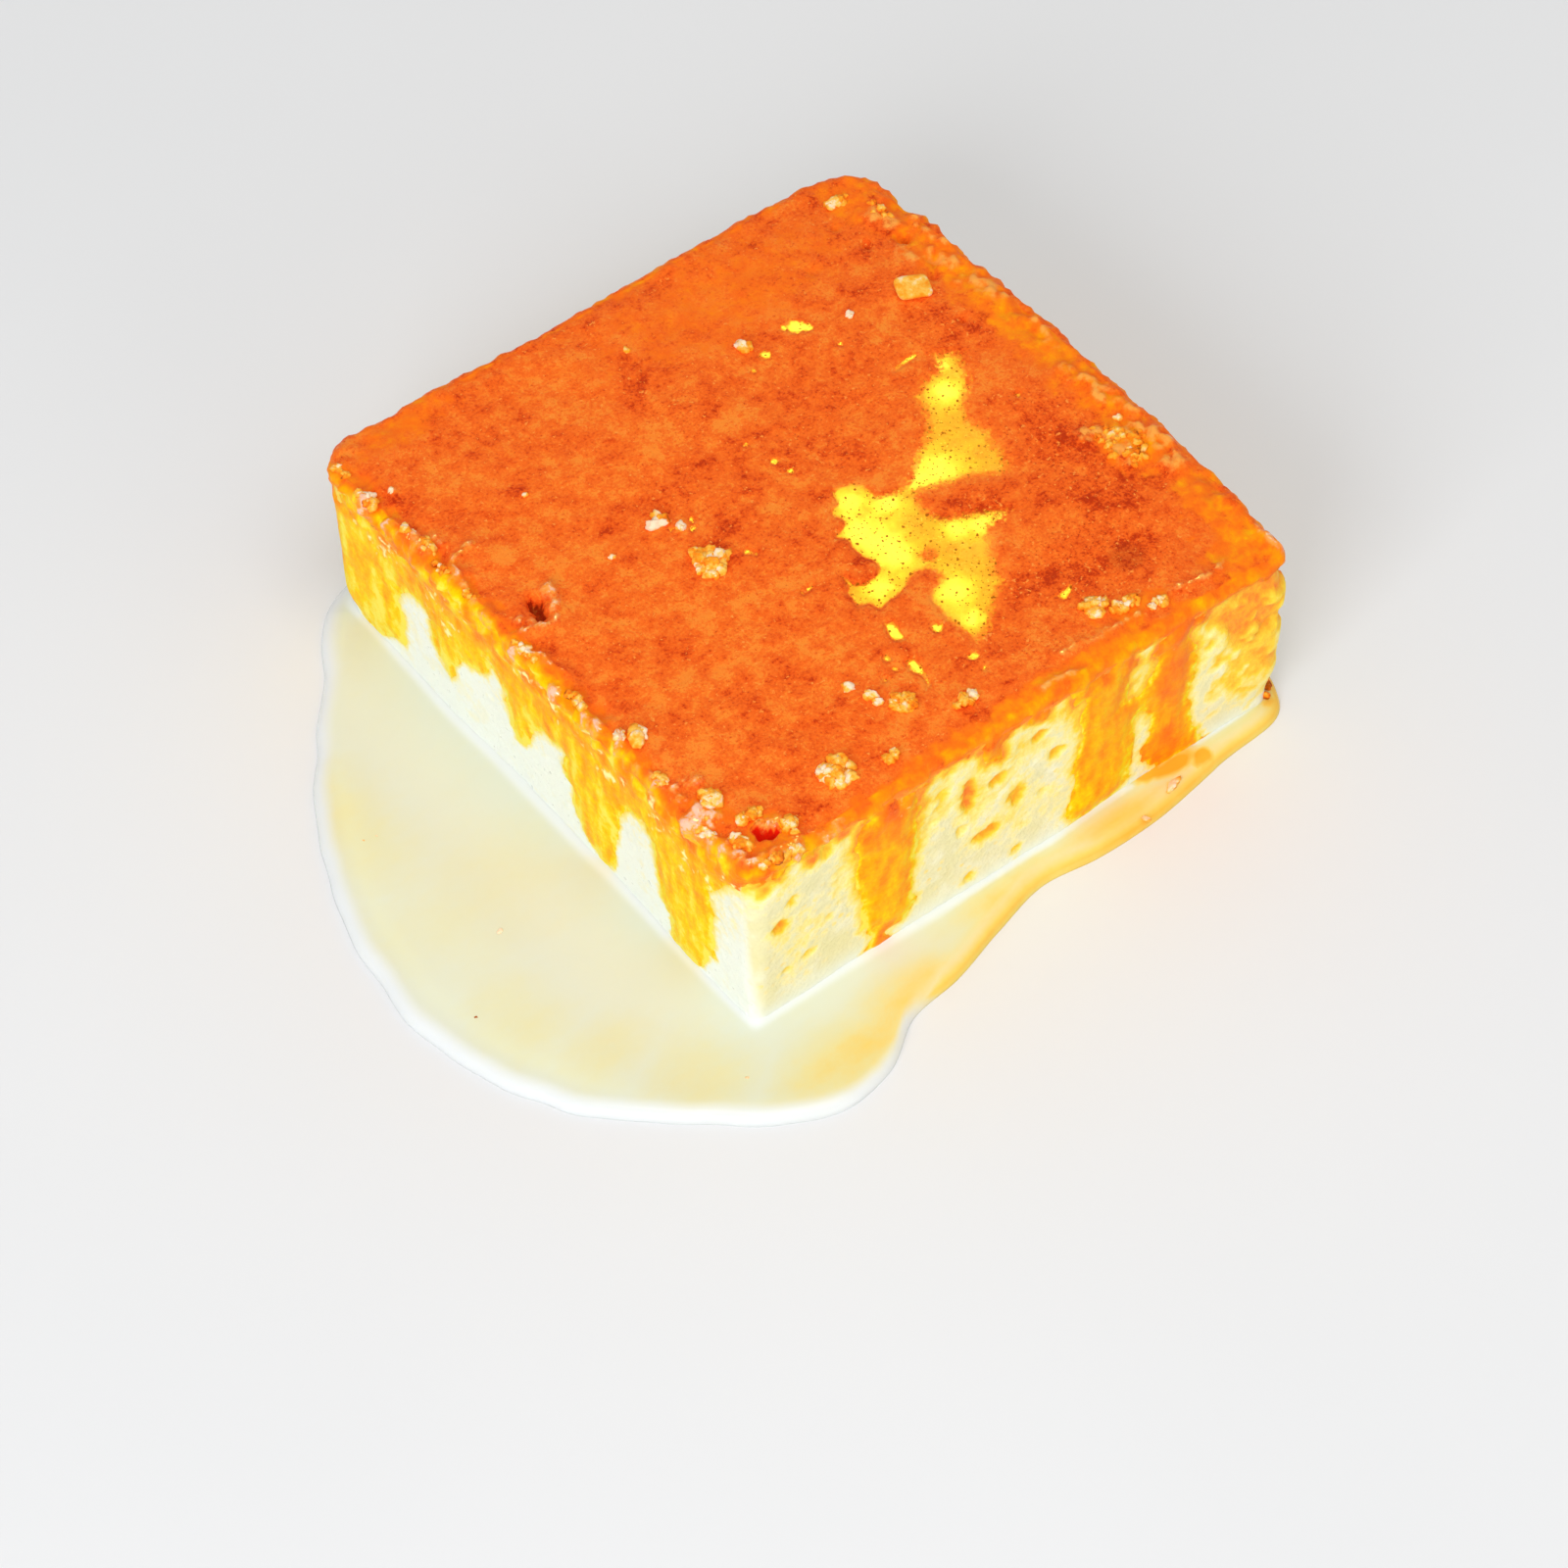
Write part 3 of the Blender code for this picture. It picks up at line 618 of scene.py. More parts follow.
# Ridges of crumb along the edges, which stand clear of the caramel: their crests in X and Y, the half
# width and the height
RIDGES = (
    (((-41.5, 34), (-41.9, 31.6)), 1.1, 0.9), (((-38.3, 32.4), (-38, 32)), 0.5, 0.5),
    (((-41.9, 29.4), (-41.4, 28.4)), 0.6, 0.7), (((-41, 26.2), (-40.7, 25)), 0.9, 0.9),
    (((-41, 23.4), (-40.8, 21.8)), 1.2, 1.2), (((-39.2, 23.2), (-38.8, 22)), 0.8, 0.5),
    (((-36.2, 19), (-39.6, 18.4), (-40.6, 15.7), (-40.7, 13.4)), 0.6, 0.9),
    (((-40.7, 13.4), (-41.6, 10.7), (-41.9, 7.5)), 0.5, 0.6),
    (((-32.9, 7.8), (-33.3, 6.2), (-34.2, 4.4)), 0.9, 1),
    (((-39.3, 3.6), (-37, 3), (-34.6, 3.2)), 0.5, 0.6), (((-39.2, 6.1), (-39, 5.8)), 0.7, 0.7),
    (((-37.6, 4.9), (-37.4, 4.5)), 0.7, 0.6), (((-41.8, 2.6), (-40.6, 0.1), (-39.9, -2.2)), 0.5, 0.6),
    (((-41.4, -4.6), (-41.8, -7.4)), 0.6, 0.6), (((-41, -10.4), (-41.6, -13.5)), 0.6, 0.7),
    (((-39.8, -16), (-41.4, -17.6), (-41, -21.7)), 0.6, 0.7), (((-41, -22.5), (-41.9, -26)), 0.5, 0.8),
    (((-41.4, -26.2), (-40.5, -28.2)), 0.8, 0.8),
    (((-41.8, -31.4), (-41, -33.9), (-41.1, -35.4)), 0.7, 0.7), (((-39.9, -31), (-39, -33.2)), 1.4, 0.8),
    (((-39.6, -40.9), (-36.5, -42), (-33, -41.6)), 0.8, 0.8), (((-40.4, -37.6), (-40.2, -39.6)), 0.8, 0.7),
    (((-35.6, -37.2), (-33.6, -37.8)), 0.7, 0.6), (((8.3, -38.4), (15.2, -39.1), (20, -38.8)), 0.6, 0.5),
    (((24.9, -38.5), (29.6, -39.3), (33.9, -38.8)), 0.6, 0.5),
    (((41.5, -35.5), (40.6, -39.5), (40.8, -41.6)), 0.8, 0.7), (((38.9, 23.4), (39.8, 20.4)), 1.5, 0.6),
    (((39.6, 17.4), (40.4, 12.6)), 1.7, 0.6), (((38.4, 30.2), (37.2, 33.6)), 1.4, 0.5),
    (((36.2, 26.6), (36, 24)), 1.4, 0.4), (((41.2, 6), (40.6, 1.2)), 1.2, 0.6),
    (((38.8, -2.6), (40.5, -8.7)), 1.1, 0.8), (((39.2, -8.7), (40.9, -13.2)), 1.1, 0.8),
    (((34.2, -12.6), (36.4, -14.6), (35.4, -18.8)), 1.7, 0.5),
    (((38.8, -14.8), (40.6, -18.6), (39.2, -23.2)), 1.7, 0.7), (((40.8, 30), (41, 24)), 0.7, 0.6),
    (((-41.2, -24.6), (-40.3, -26.6), (-37, -27.4)), 0.7, 0.6),
    (((-41.2, -30.6), (-39.9, -33.6)), 0.6, 0.5), (((-31, -41.8), (-27, -42.2)), 0.6, 0.4),
    (((3, -41), (8, -41.6)), 0.6, 0.4),
)
# Places on top where the caramel is thin and paler, as (X, Y, half width, half depth, how thin)
THIN_PLACES = (
    (-38.6, -31.7, 2.6, 3, 0.42), (-37, -42.5, 6, 2.2, 0.34), (-40.8, -37.5, 1.9, 4.5, 0.34),
    (-41.6, 0, 2.6, 42, 0.36), (4, -42.6, 38, 3.2, 0.4), (-34, -37.2, 2.6, 1.5, 0.3),
    (19.5, -38, 6, 2.2, 0.3), (37.5, -17, 4.6, 6.5, 0.4), (-40.9, 36, 2.6, 6, 0.3),
    (37.5, -37.6, 6, 5.5, 0.36), (-31, 40.5, 8, 3, 0.28), (38.5, -29, 4, 7, 0.3), (0, 43.4, 42, 1.8, 0.4),
    (40.4, 9, 5.4, 36, 0.3), (36, 38, 6, 6, 0.24), (14, 34, 24, 9, 0.18), (-35.4, -39, 4.5, 3.6, 0.4),
)
# Thick caramel from its thin light places to its deep ones, its specks, and its darkest: burnt in places,
# and painted shade in the hollows
THICK_SHADES = {
    0: (254, 140, 48), 0.3: (252, 112, 34), 0.55: (245, 98, 28), 0.78: (227, 75, 20), 1: (192, 46, 12),
}
DARK_SPECK = (192, 50, 14)
LIGHT_SPECK = (255, 150, 62)
BURNT_AND_HOLLOW_SHADE = (135, 30, 10)
# The drips, from a stain on the crumb to their full depth
DRIP_SHADES = {
    0: (253, 228, 84), 0.14: (252, 210, 10), 0.32: (255, 178, 8), 0.5: (255, 148, 14), 0.72: (254, 118, 22),
    1: (248, 96, 22),
}
RED_HOLLOW = (226, 22, 8)
PALE_CRUMB = (255, 240, 160)
RAISED_LUMP = (255, 165, 72)
# A painted pink-white sheen on the edge's lumps and ridges
PAINTED_PINK_SHEEN = (255, 190, 158)
PINHOLE = (170, 80, 8)
# The wet film's colour, which follows how strongly it shines and so is partly painted highlight: darker at
# its thin border, lighter in it, and painted yellow where its reflection is brightest
BORDER_SYRUP = (190, 60, 14)
SHINING_SYRUP = (255, 156, 30)
PAINTED_HIGHLIGHT_SYRUP = (255, 218, 46)


def hump(distance, width):
    """1 at no distance, and fading to both sides within about this width."""
    return np.exp(-(distance / width) ** 2)


def line_distance(x, y, line):
    """Distance from each point to a line of straight stretches."""
    nearest = np.full(np.shape(x), np.inf)
    for (x0, y0), (x1, y1) in zip(line, line[1:]):
        dx, dy = x1 - x0, y1 - y0
        share = np.clip(((x - x0) * dx + (y - y0) * dy) / (dx * dx + dy * dy), 0, 1)
        nearest = np.minimum(nearest, np.hypot(x - x0 - share * dx, y - y0 - share * dy))
    return nearest


def inward(x, y, corners):
    """How far inside a closed outline each point lies, and negative outside it."""
    ring = (*corners, corners[0])
    inside = np.zeros(np.shape(x), bool)
    for (x0, y0), (x1, y1) in zip(ring, ring[1:]):
        crosses = (x0 <= x) != (x1 <= x)
        inside ^= crosses & (y > y0 + (y1 - y0) * (x - x0) / ((x1 - x0) or 1))
    nearest = line_distance(x, y, ring)
    return np.where(inside, nearest, -nearest)


def strongest(x, y, places, full, gone, uneven=0, combine=np.maximum):
    """The strongest of these places at each point. Each is an oval, full up to one share of its size and
    gone at another."""
    found = np.zeros(np.shape(x + y))
    for place_x, place_y, half_width, half_depth, strength in places:
        away = np.hypot((x - place_x) / half_width, (y - place_y) / half_depth) + uneven
        found = combine(found, strength * (1 - smooth(away, full, gone)))
    return found


def ridge_share(x, y):
    """Height of the ridges at each point, and how far up its ridge it lies, from 0 to 1."""
    height, share = np.zeros(np.shape(x)), np.zeros(np.shape(x))
    spots = flat(x, y)
    jitter = 0.7 * rough(spots, 2.1, 11) + 0.35 * rough(spots, 0.9, 12)
    broken = np.clip(0.75 + 0.9 * rough(spots, 1.2, 21), 0, 1.3)
    for crest, half_width, rise in RIDGES:
        up_ridge = 1 - smooth(line_distance(x + jitter, y - jitter, crest) / half_width, 0.1, 1.7)
        height = np.maximum(height, rise * up_ridge * broken)
        share = np.maximum(share, up_ridge * broken)
    return height, share


def thin_share(x, y):
    """How thin the caramel is at each point on top, from 0 where it is thick."""
    spots = flat(x, y)
    return strongest(x, y, THIN_PLACES, 0.3, 1.3, 0.5 * rough(spots, 2.6, 5) + 0.35 * rough(spots, 1.1, 6))


def hidden_line():
    """The caramel's lower edge round the two far sides, with the same drips as the solid's."""
    draw = random.Random(HIDDEN_SEED)
    lengths = (SLAB_Y - CORNER_ROUND[0] - CORNER_ROUND[1], SLAB_X - CORNER_ROUND[1] - CORNER_ROUND[2])
    far_start = SLAB_X - CORNER_ROUND[3] - CORNER_ROUND[0] + CORNER_ROUND[0] * math.pi / 2
    starts = (far_start, far_start + lengths[0] + CORNER_ROUND[1] * math.pi / 2)
    notch = SPONGE_TOP - FAR_HANG
    points = []
    for start, length in zip(starts, lengths):
        for drip in range(HIDDEN_DRIPS):
            middle = start + length * (drip + draw.uniform(0.3, 0.7)) / HIDDEN_DRIPS
            width = draw.uniform(*HIDDEN_WIDTH)
            tip = draw.choice((LOWEST_TIP, draw.uniform(*HIDDEN_TIP)))
            for across, up, more in HIDDEN_SHAPE:
                points.append((middle + across * width, up * notch + (1 - up) * tip + more))
    line = [points[0]]
    for point in points[1:]:
        if point[0] > line[-1][0] + 0.5:
            line.append(point)
    return line


def caramel_outline():
    """The caramel's region on the unrolled side of the cake, as one closed outline in place and height."""
    right = [(RIGHT_MIDDLE + x, z) for x, z in RIGHT_LINE]
    left = [(LEFT_MIDDLE - y, z) for y, z in LEFT_LINE]
    hidden = [point for point in hidden_line() if right[-1][0] < point[0] < left[0][0]]
    line = right + hidden + left
    before = [(place - PERIMETER, z) for place, z in line[-8:]]
    after = [(place + PERIMETER, z) for place, z in line[:8]]
    line = [point for point in before if point[0] < line[0][0]] + line
    line += [point for point in after if point[0] > line[-1][0]]
    order = np.argsort(walked)
    crest = np.interp([place % PERIMETER for place, _ in line], walked[order], level[-1][order] - CREST_GAP)
    line = [(place, max(LOWEST_CARAMEL, min(z, top))) for (place, z), top in zip(line, crest)]
    return [(line[0][0], OUTLINE_TOP)] + line + [(line[-1][0], OUTLINE_TOP)]


def poured_top(x, y, still=0):
    """Height of the caramel's top, with its ripple and lumps taken out where the film lies still."""
    spots = flat(x, y)
    lumps = EDGE_LUMPS * rough(spots, 6, 2.5) * np.minimum(1, np.maximum(*slab_share(x, y))) ** 4
    fine = rough(spots, 3.1, 1.5) + 0.6 * rough(spots, 1.4, 2.5)
    ripple = RIPPLE * rough(spots, 17, 8.5) + GRAIN * fine
    return SPONGE_TOP - TOP_TILT * (x + y) + LAYER - corner_drop(x, y) + (ripple + lumps) * (1 - still)


def wet_film(x, y):
    """How far inside a wet patch each place is, from -1 outside to 1, and how bright it is there."""
    fringe = 0.4 + 1.3 * smooth(x - 0.25 * y, 2, 15)
    jitter = 0.35 * rough(flat(x, y), 1.1, 5)
    film = inward(x + jitter, y - jitter, WET_PATCH) / fringe
    for spot in WET_SPOTS:
        film = np.maximum(film, inward(x + jitter, y, spot) / SPOT_FRINGE)
    for spot_x, spot_y, radius in WET_SPECKS:
        in_speck = SPECK_GROWTH * radius - np.hypot(x + jitter - spot_x, y - spot_y)
        film = np.maximum(film, in_speck / SPECK_FRINGE)
    spots = np.clip(film * (inward(x, y, WET_PATCH) < -0.5), 0, 1)
    dim = 1 - 0.8 * spots
    for place_x, place_y, radius in BRIGHT_PLACES:
        dim *= 1 - 0.9 * hump(np.hypot(x - place_x, y - place_y) + 2 * jitter, radius)
    return np.clip(film, -1, 1) - strongest(x, y, DULL_PLACES, 0.4, 1.2) * (film > 0), 1 - dim


def spread_between(rim):
    """Fills the ring of rim points with a square grid of points, by blending its four quarters."""
    count = QUARTER_COLUMNS
    ring = np.concatenate([rim, rim[:1]])
    south, east = ring[:count + 1], ring[count:2 * count + 1]
    north, west = ring[2 * count:3 * count + 1][::-1], ring[3 * count:][::-1]
    u, v = np.meshgrid(np.linspace(0, 1, count + 1), np.linspace(0, 1, count + 1))
    u, v = u[..., None], v[..., None]
    corners = (1 - u) * (1 - v) * south[0] + u * (1 - v) * south[-1]
    corners += u * v * north[-1] + (1 - u) * v * north[0]
    return (1 - v) * south + v * north + (1 - u) * west[:, None] + u * east[:, None] - corners


def crags(points):
    """Height of the layer's broken edge: lumps of crumb held in the caramel, and hollows between them."""
    lumps = 0.75 - 1.5 * cell_distance(points, 2.8, 9)
    small_lumps = 0.6 - 1.3 * cell_distance(points, 1.5, 2)
    return 0.6 * lumps + 0.55 * small_lumps + 0.4 * rough(points, 1.1, 4) + 0.55 * rough(points, 3.6, 6)


def push_side(points, out, up):
    """Moves points of the side by this much out from the cake and up."""
    points[..., :2] += ways * out[..., None]
    points[..., 2] += up


def closing_walls(kept, number, inner):
    """Quads that join the outer skin to the inner one along the edge of the faces that are kept."""
    after, inner_after = np.roll(number, -1, axis=1), np.roll(inner, -1, axis=1)
    none = np.zeros((1, kept.shape[1]), bool)
    low = kept & ~np.concatenate([none, kept[:-1]])
    high = kept & ~np.concatenate([kept[1:], ~none])
    start = kept & ~np.roll(kept, 1, axis=1)
    end = kept & ~np.roll(kept, -1, axis=1)
    walls = [np.stack([after[:-1], number[:-1], inner[:-1], inner_after[:-1]], -1)[low]]
    walls.append(np.stack([number[1:], after[1:], inner_after[1:], inner[1:]], -1)[high])
    walls.append(np.stack([number[:-1], number[1:], inner[1:], inner[:-1]], -1)[start])
    walls.append(np.stack([after[1:], after[:-1], inner_after[:-1], inner_after[1:]], -1)[end])
    return np.concatenate(walls)


def caramel_mark(on_top, on_side, inside_skin=0):
    """A mark for all the caramel's points, on top, on its side and on its inner skin."""
    blocks = ((on_top, grid_numbers), (on_side, side_numbers), (inside_skin, inner_numbers))
    return np.concatenate([np.broadcast_to(values, numbers.shape).ravel() for values, numbers in blocks])


def wet_caramel():
    """Caramel: mottled red-orange where it is thick, amber and yellow where it is a stain on the crumb."""
    constants = {"Specular Tint": (1, 0.5, 0, 1), "Specular IOR Level": 0.12, "Coat Roughness": 0.15}
    constants.update({"Subsurface Weight": 0.2, "Subsurface Scale": 1.5 * MM})
    constants["Subsurface Radius"] = (1, 0.5, 0.15)
    material, place = new_finish("wet_caramel", constants)
    film, tint, burnt, bright = place.marks("film", "tint", "burnt", "bright")
    border, sheen, raised, crumbly = place.marks("border", "sheen", "raised", "crumbly")
    cloud = place.vector("MULTIPLY", (0.75, 1.1, 1)).grain(7, 4, 0.6)
    blotch = place.grain(3.4, 3, 0.6)
    mottle = place.grain(1.6, 3, 0.6)
    speck = place.grain(0.4, 3, 0.7)
    thick = cloud.swing(1.2) + blotch.swing(1.3) + mottle.swing(1.3) + speck.swing(1) + 0.37 + 0.3 * burnt
    top = (speck + 0.08 * burnt).between(0.62, 0.78).blend(thick.ramp(THICK_SHADES), DARK_SPECK)
    top = (place.grain(0.6, 2, 0.6) + 0.03 * burnt).between(0.63, 0.73).blend(top, LIGHT_SPECK)
    # The darkest colour: burnt caramel in the dark places, and painted shade inside the hollows
    top = burnt.between(1.1, 1.7).blend(top, BURNT_AND_HOLLOW_SHADE)
    running = place.vector("MULTIPLY", (1, 1, 0.45)).grain(1.7, 3, 0.55)
    streaky = running.swing(0.75) + place.grain(0.8, 3, 0.6).swing(0.35)
    streak = tint - 0.22 * border + streaky * (1 + 1.3 * border)
    body = (tint + mottle.swing(0.5)).between(0.7, 0.98).blend(streak.ramp(DRIP_SHADES), top)
    body = tint.between(1.1, 1.5).blend(body, RED_HOLLOW)
    flecks = place.grain(0.7, 3, 0.65)
    patches = place.grain(1.3).swing(1.6) + place.grain(4).swing(1.4) + 0.25 * crumbly
    body = (patches.between(0.36, 0.66) * crumbly.between(0.1, 0.5)).blend(body, PALE_CRUMB)
    body = (raised * (0.1 + 1.7 * flecks)).between(0.35, 1).blend(body, RAISED_LUMP)
    # Painted pink-white sheen on the edge's lumps and ridges, where the sheen mark is high
    body = (sheen * flecks).between(0.5, 0.76).blend(body, PAINTED_PINK_SHEEN)
    spotted = place.vector("ADD", blotch * 1.4)
    pinholes = spotted.dots(2.2, 0.13) + spotted.dots(0.85, 0.08) * blotch.between(0.4, 0.5)
    body = (pinholes * film.between(0, 0.3)).blend(body, PINHOLE)
    tones = {"Base Color": body, "Roughness": 0.5 + speck.swing(0.4)}
    tones["Coat Weight"] = sheen.between(0.3, 0.8) * flecks.between(0.45, 0.6)
    dry = 1 - film.between(-0.6, 0.3)
    height = (speck + 0.8 * mottle) * dry * (0.35 + 0.65 * tint.between(0.7, 0.95))
    tones["Normal"] = place.relief(height, 0.12)
    finish_with(material, tones)
    edge = film + place.grain(0.45, 2, 0.6).swing(2.4) * (1 - film * film)
    shine = 0.36 + 0.42 * bright + mottle.swing(0.45)
    wet = edge.between(-0.1, 0.95) * (1 - pinholes).between(0, 1) * shine
    # The film's own colour follows its shine, as painted highlight: yellow where it is brightest
    syrup_with_painted_shine = bright.between(0.3, 1.1).blend(wet.between(0, 0.6).blend(BORDER_SYRUP, SHINING_SYRUP), PAINTED_HIGHLIGHT_SYRUP)
    glaze = {"Base Color": syrup_with_painted_shine, "Roughness": 0.1, "Specular Tint": (1, 0.95, 0, 1)}
    glaze.update({"Coat Weight": bright.between(0.4, 1) * 0.32, "Coat Roughness": 0.1})
    mirror = wet.node("BsdfPrincipled", {}, glaze)
    nodes = material.node_tree.nodes
    mixed = wet.node("MixShader", {}, {0: wet, 1: Tone(nodes["Principled BSDF"].outputs[0]), 2: mirror})
    material.node_tree.links.new(mixed.socket, nodes["Material Output"].inputs["Surface"])
    return material


# How far the layer stands out: it swells and is lumpy where it faces +X, and is tucked in at two corners
on_far = np.clip(ways[:, 0], 0, 1) ** 2
near_corner = smooth(-outline_x - outline_y, *NEAR_CORNER)
swell = FAR_SWELL * on_far * (1 - smooth(np.abs(outline_y + 2), 26, 42))
lumpy_edge = FAR_LUMPS * on_far * rough(outline_flat, 4.5, 3)
overhang = OVERHANG - RIGHT_TUCK * on_right + swell + lumpy_edge
overhang *= 1 - RIGHT_CORNER_TUCK * right_corner - NEAR_CORNER_TUCK * near_corner
overhang += LEFT_SWELL * left_corner

# The top: a grid of points inside the rim, poured level but for its ripple, hollows and crags
grid = spread_between(cut_side(SPONGE_TOP + 0 * walked[None], overhang - EDGE_ROUND)[0, :, :2])
grid_x, grid_y = grid[..., 0], grid[..., 1]
film, bright = wet_film(grid_x, grid_y)
top_height = poured_top(grid_x, grid_y, smooth(film, -1, 0.2))
hollow = np.zeros(grid_x.shape)
red = np.zeros(grid_x.shape)
for number, (x, y, radius, depth, shows_red) in enumerate(HOLLOWS):
    away = np.hypot(grid_x - x, grid_y - y) / radius
    away = away * (1 + 0.5 * rough(flat(grid_x, grid_y), 1.1, number))
    hollow = np.maximum(hollow, depth * (1 - smooth(away, 0.3, 1.1)))
    red = np.maximum(red, shows_red * (1 - smooth(away, 0.75, 1.15)))
top_points = np.concatenate([grid, (top_height - hollow)[..., None]], axis=-1)
from_edge = np.minimum(SLAB_X / 2 - np.abs(grid_x), SLAB_Y / 2 - np.abs(grid_y)) - 0.25
top_craggy = CRAGGY + LEFT_CRAGGY * smooth(-grid_x, 34, 40) + FAR_CRAGGY * smooth(grid_x, 34, 40)
top_crag = crags(top_points) * top_craggy * hump(np.maximum(from_edge, 0), CRAG_INSET)
ridge_height, ridge_up = ridge_share(grid_x, grid_y)
top_points[..., 2] += top_crag + ridge_height

# The side: a skirt over the crumb, of which only the part inside the drips' outline is kept
grid_numbers = numbered(grid)
rim_numbers = (grid_numbers[0, :-1], grid_numbers[:-1, -1], grid_numbers[-1, :0:-1], grid_numbers[:0:-1, 0])
rim_numbers = np.concatenate(rim_numbers)
rim_height = top_height.ravel()[rim_numbers]
edge_height = rim_height - EDGE_ROUND
lip = level[-1] + (edge_height - level[-1]) * (np.arange(1, LIP_ROWS + 1) / LIP_ROWS)[:, None]
skirt_level = np.concatenate([level, lip])
skirt_depth = np.concatenate([crumb_depth, crumb_depth[-1:] * np.linspace(1, 0.2, LIP_ROWS)[:, None]])
skirt_side = cut_side(skirt_level, PUFF)
wander = 0.55 * rough(skirt_side, 1.9, 1) + 0.38 * rough(skirt_side, 0.85, 2)
inside = inward(walked + wander, skirt_level + wander, caramel_outline())
bare = inward(walked + wander - RIGHT_MIDDLE, skirt_level + wander, BARE_STREAK)
inside = np.minimum(inside, -bare)
ragged = RAGGED_EDGE * np.maximum(on_right, right_corner) * (rough(skirt_side, 2.8, 15) - 0.22)
inside += ragged * hump(edge_height - skirt_level, RAGGED_DROP)
inside[-LIP_ROWS - 1:] = np.maximum(inside[-LIP_ROWS - 1:], 0.35 + 0.25 * np.arange(LIP_ROWS + 1)[:, None])

body_rise = smooth(inside, 0.1, 3) * (DRIP_THICKNESS + DRIP_UNEVEN * rough(skirt_side, 3, 6))
follow = 1 - (0.55 - 0.3 * on_left) * smooth(inside, 0.3, 3)
clearance = PUFF - follow * skirt_depth + body_rise + DRIP_CLEARANCE
clearance -= BORDER_SLOPE * np.clip(0.1 - inside, 0, 2 * TUCK)
near_edge = smooth(skirt_level, edge_height - 2.2 - 4 * on_left, edge_height) * smooth(inside, 0, 1.3)
clearance += (overhang - clearance) * near_edge
turned = np.radians(90 - 90 * np.arange(1, ROUND_STEPS) / ROUND_STEPS)[:, None] + 0 * walked
rounded = cut_side(SPONGE_TOP + 0 * turned, overhang - EDGE_ROUND * (1 - np.sin(turned)))
rounded[..., 2] = rim_height - EDGE_ROUND * (1 - np.cos(turned))
side_points = np.concatenate([cut_side(skirt_level, clearance), rounded])
up = np.concatenate([0 * skirt_level, np.cos(turned)])
out = np.concatenate([1 + 0 * skirt_level, np.sin(turned)])
below_edge = np.concatenate([edge_height - skirt_level, 0 * turned])
cragginess = CRAGGY + LEFT_CRAGGY * on_left + FAR_CRAGGY * on_far + RIGHT_CRAGGY * on_right
crag = crags(side_points) * cragginess * hump(below_edge, CRAG_DROP)
push_side(side_points, crag * out, crag * up)
side_ridge, side_ridge_up = ridge_share(side_points[..., 0], side_points[..., 1])
ridge_reach = hump(below_edge, RIDGE_DROP)
push_side(side_points, RIDGE_OUT * side_ridge * out * ridge_reach, side_ridge * up)

# The inner skin, which closes the drips behind and the layer below
skin_rows = SIDE_ROWS + 1
skin = cut_side(skirt_level[:skin_rows], clearance[:skin_rows] - SKIN_DEPTH)
inner_points = np.concatenate([skin, np.concatenate(crumb_rings[-2:]) + (0, 0, CEILING_GAP)])
points = np.concatenate([part.reshape(-1, 3) for part in (top_points, side_points, inner_points)])
side_numbers = numbered(side_points, grid_numbers.size)
inner_numbers = numbered(inner_points, grid_numbers.size + side_numbers.size)
quad_inside = np.maximum(inside[:-1], inside[1:])
kept = np.maximum(quad_inside, np.roll(quad_inside, -1, axis=1)) > -TUCK
kept_below = kept[:SIDE_ROWS]
skirt_quads = belt(side_numbers).reshape(-1, len(walked), 4)
inner_quads = belt(inner_numbers).reshape(-1, len(walked), 4)[..., ::-1]
top_corners = (grid_numbers[:-1, :-1], grid_numbers[:-1, 1:], grid_numbers[1:, 1:], grid_numbers[1:, :-1])
quads = [np.stack(top_corners, -1).reshape(-1, 4), belt(np.stack([side_numbers[-1], rim_numbers]))]
quads += [skirt_quads[:len(kept)][kept], skirt_quads[len(kept):].reshape(-1, 4)]
quads += [inner_quads[:-2][kept_below], inner_quads[-2:].reshape(-1, 4)]
quads.append(closing_walls(kept_below, side_numbers[:skin_rows], inner_numbers[:skin_rows]))

# How deep the colour is down the sides, and where crumb shows in the lip
fall = np.maximum(edge_height - skirt_level, 0)
streaks = rough(skirt_side * (1, 1, 0.25), 1.8, 7)
left_tint = LIP_TINT - 0.3 * smooth(fall, 0, 7) - 0.13 * smooth(fall, 8, 20) + 0.2 * streaks
left_tint -= LEFT_CORNER_PALER * smooth(outline_y, 20, 34)
right_tint = LIP_TINT - 0.19 * smooth(fall, 0.6, 6.5) - 0.06 * smooth(fall, 8, 24) + 0.14 * streaks
right_tint = right_tint + strongest(right_x, skirt_level, REDDER_PLACES, 0.4, 1.2, 0.3 * streaks, np.add)
skirt_tint = right_tint + (left_tint - right_tint) * on_left
round_tint = LIP_TINT + ROUND_TINT * smooth(-turned, -1.3, -0.2) * (1 - 0.8 * on_right) + 0.01 * on_right
clumps = rough(side_points, 2.6, 14) + 0.5 * rough(side_points, 1.2, 3)
side_tint = np.concatenate([skirt_tint, round_tint])
side_tint += LIP_CLUMPS * clumps * (hump(below_edge, 6) * (0.75 + 0.25 * on_left))
side_thin = thin_share(side_points[..., 0], side_points[..., 1])
side_tint -= 0.7 * on_left * side_thin * hump(below_edge, 3)
drip_border = np.concatenate([1 - smooth(inside, 0, 1.4), 0 * turned])
drip_border *= 1 - (0.3 + 0.5 * on_left) * hump(below_edge, 4.5)
left_band = hump(below_edge - 4 - 2.5 * clumps, 4.5) * smooth(below_edge, 0, 2) * (1 + 0.5 * clumps)
right_band = hump(below_edge - 3 - clumps, 1.8)
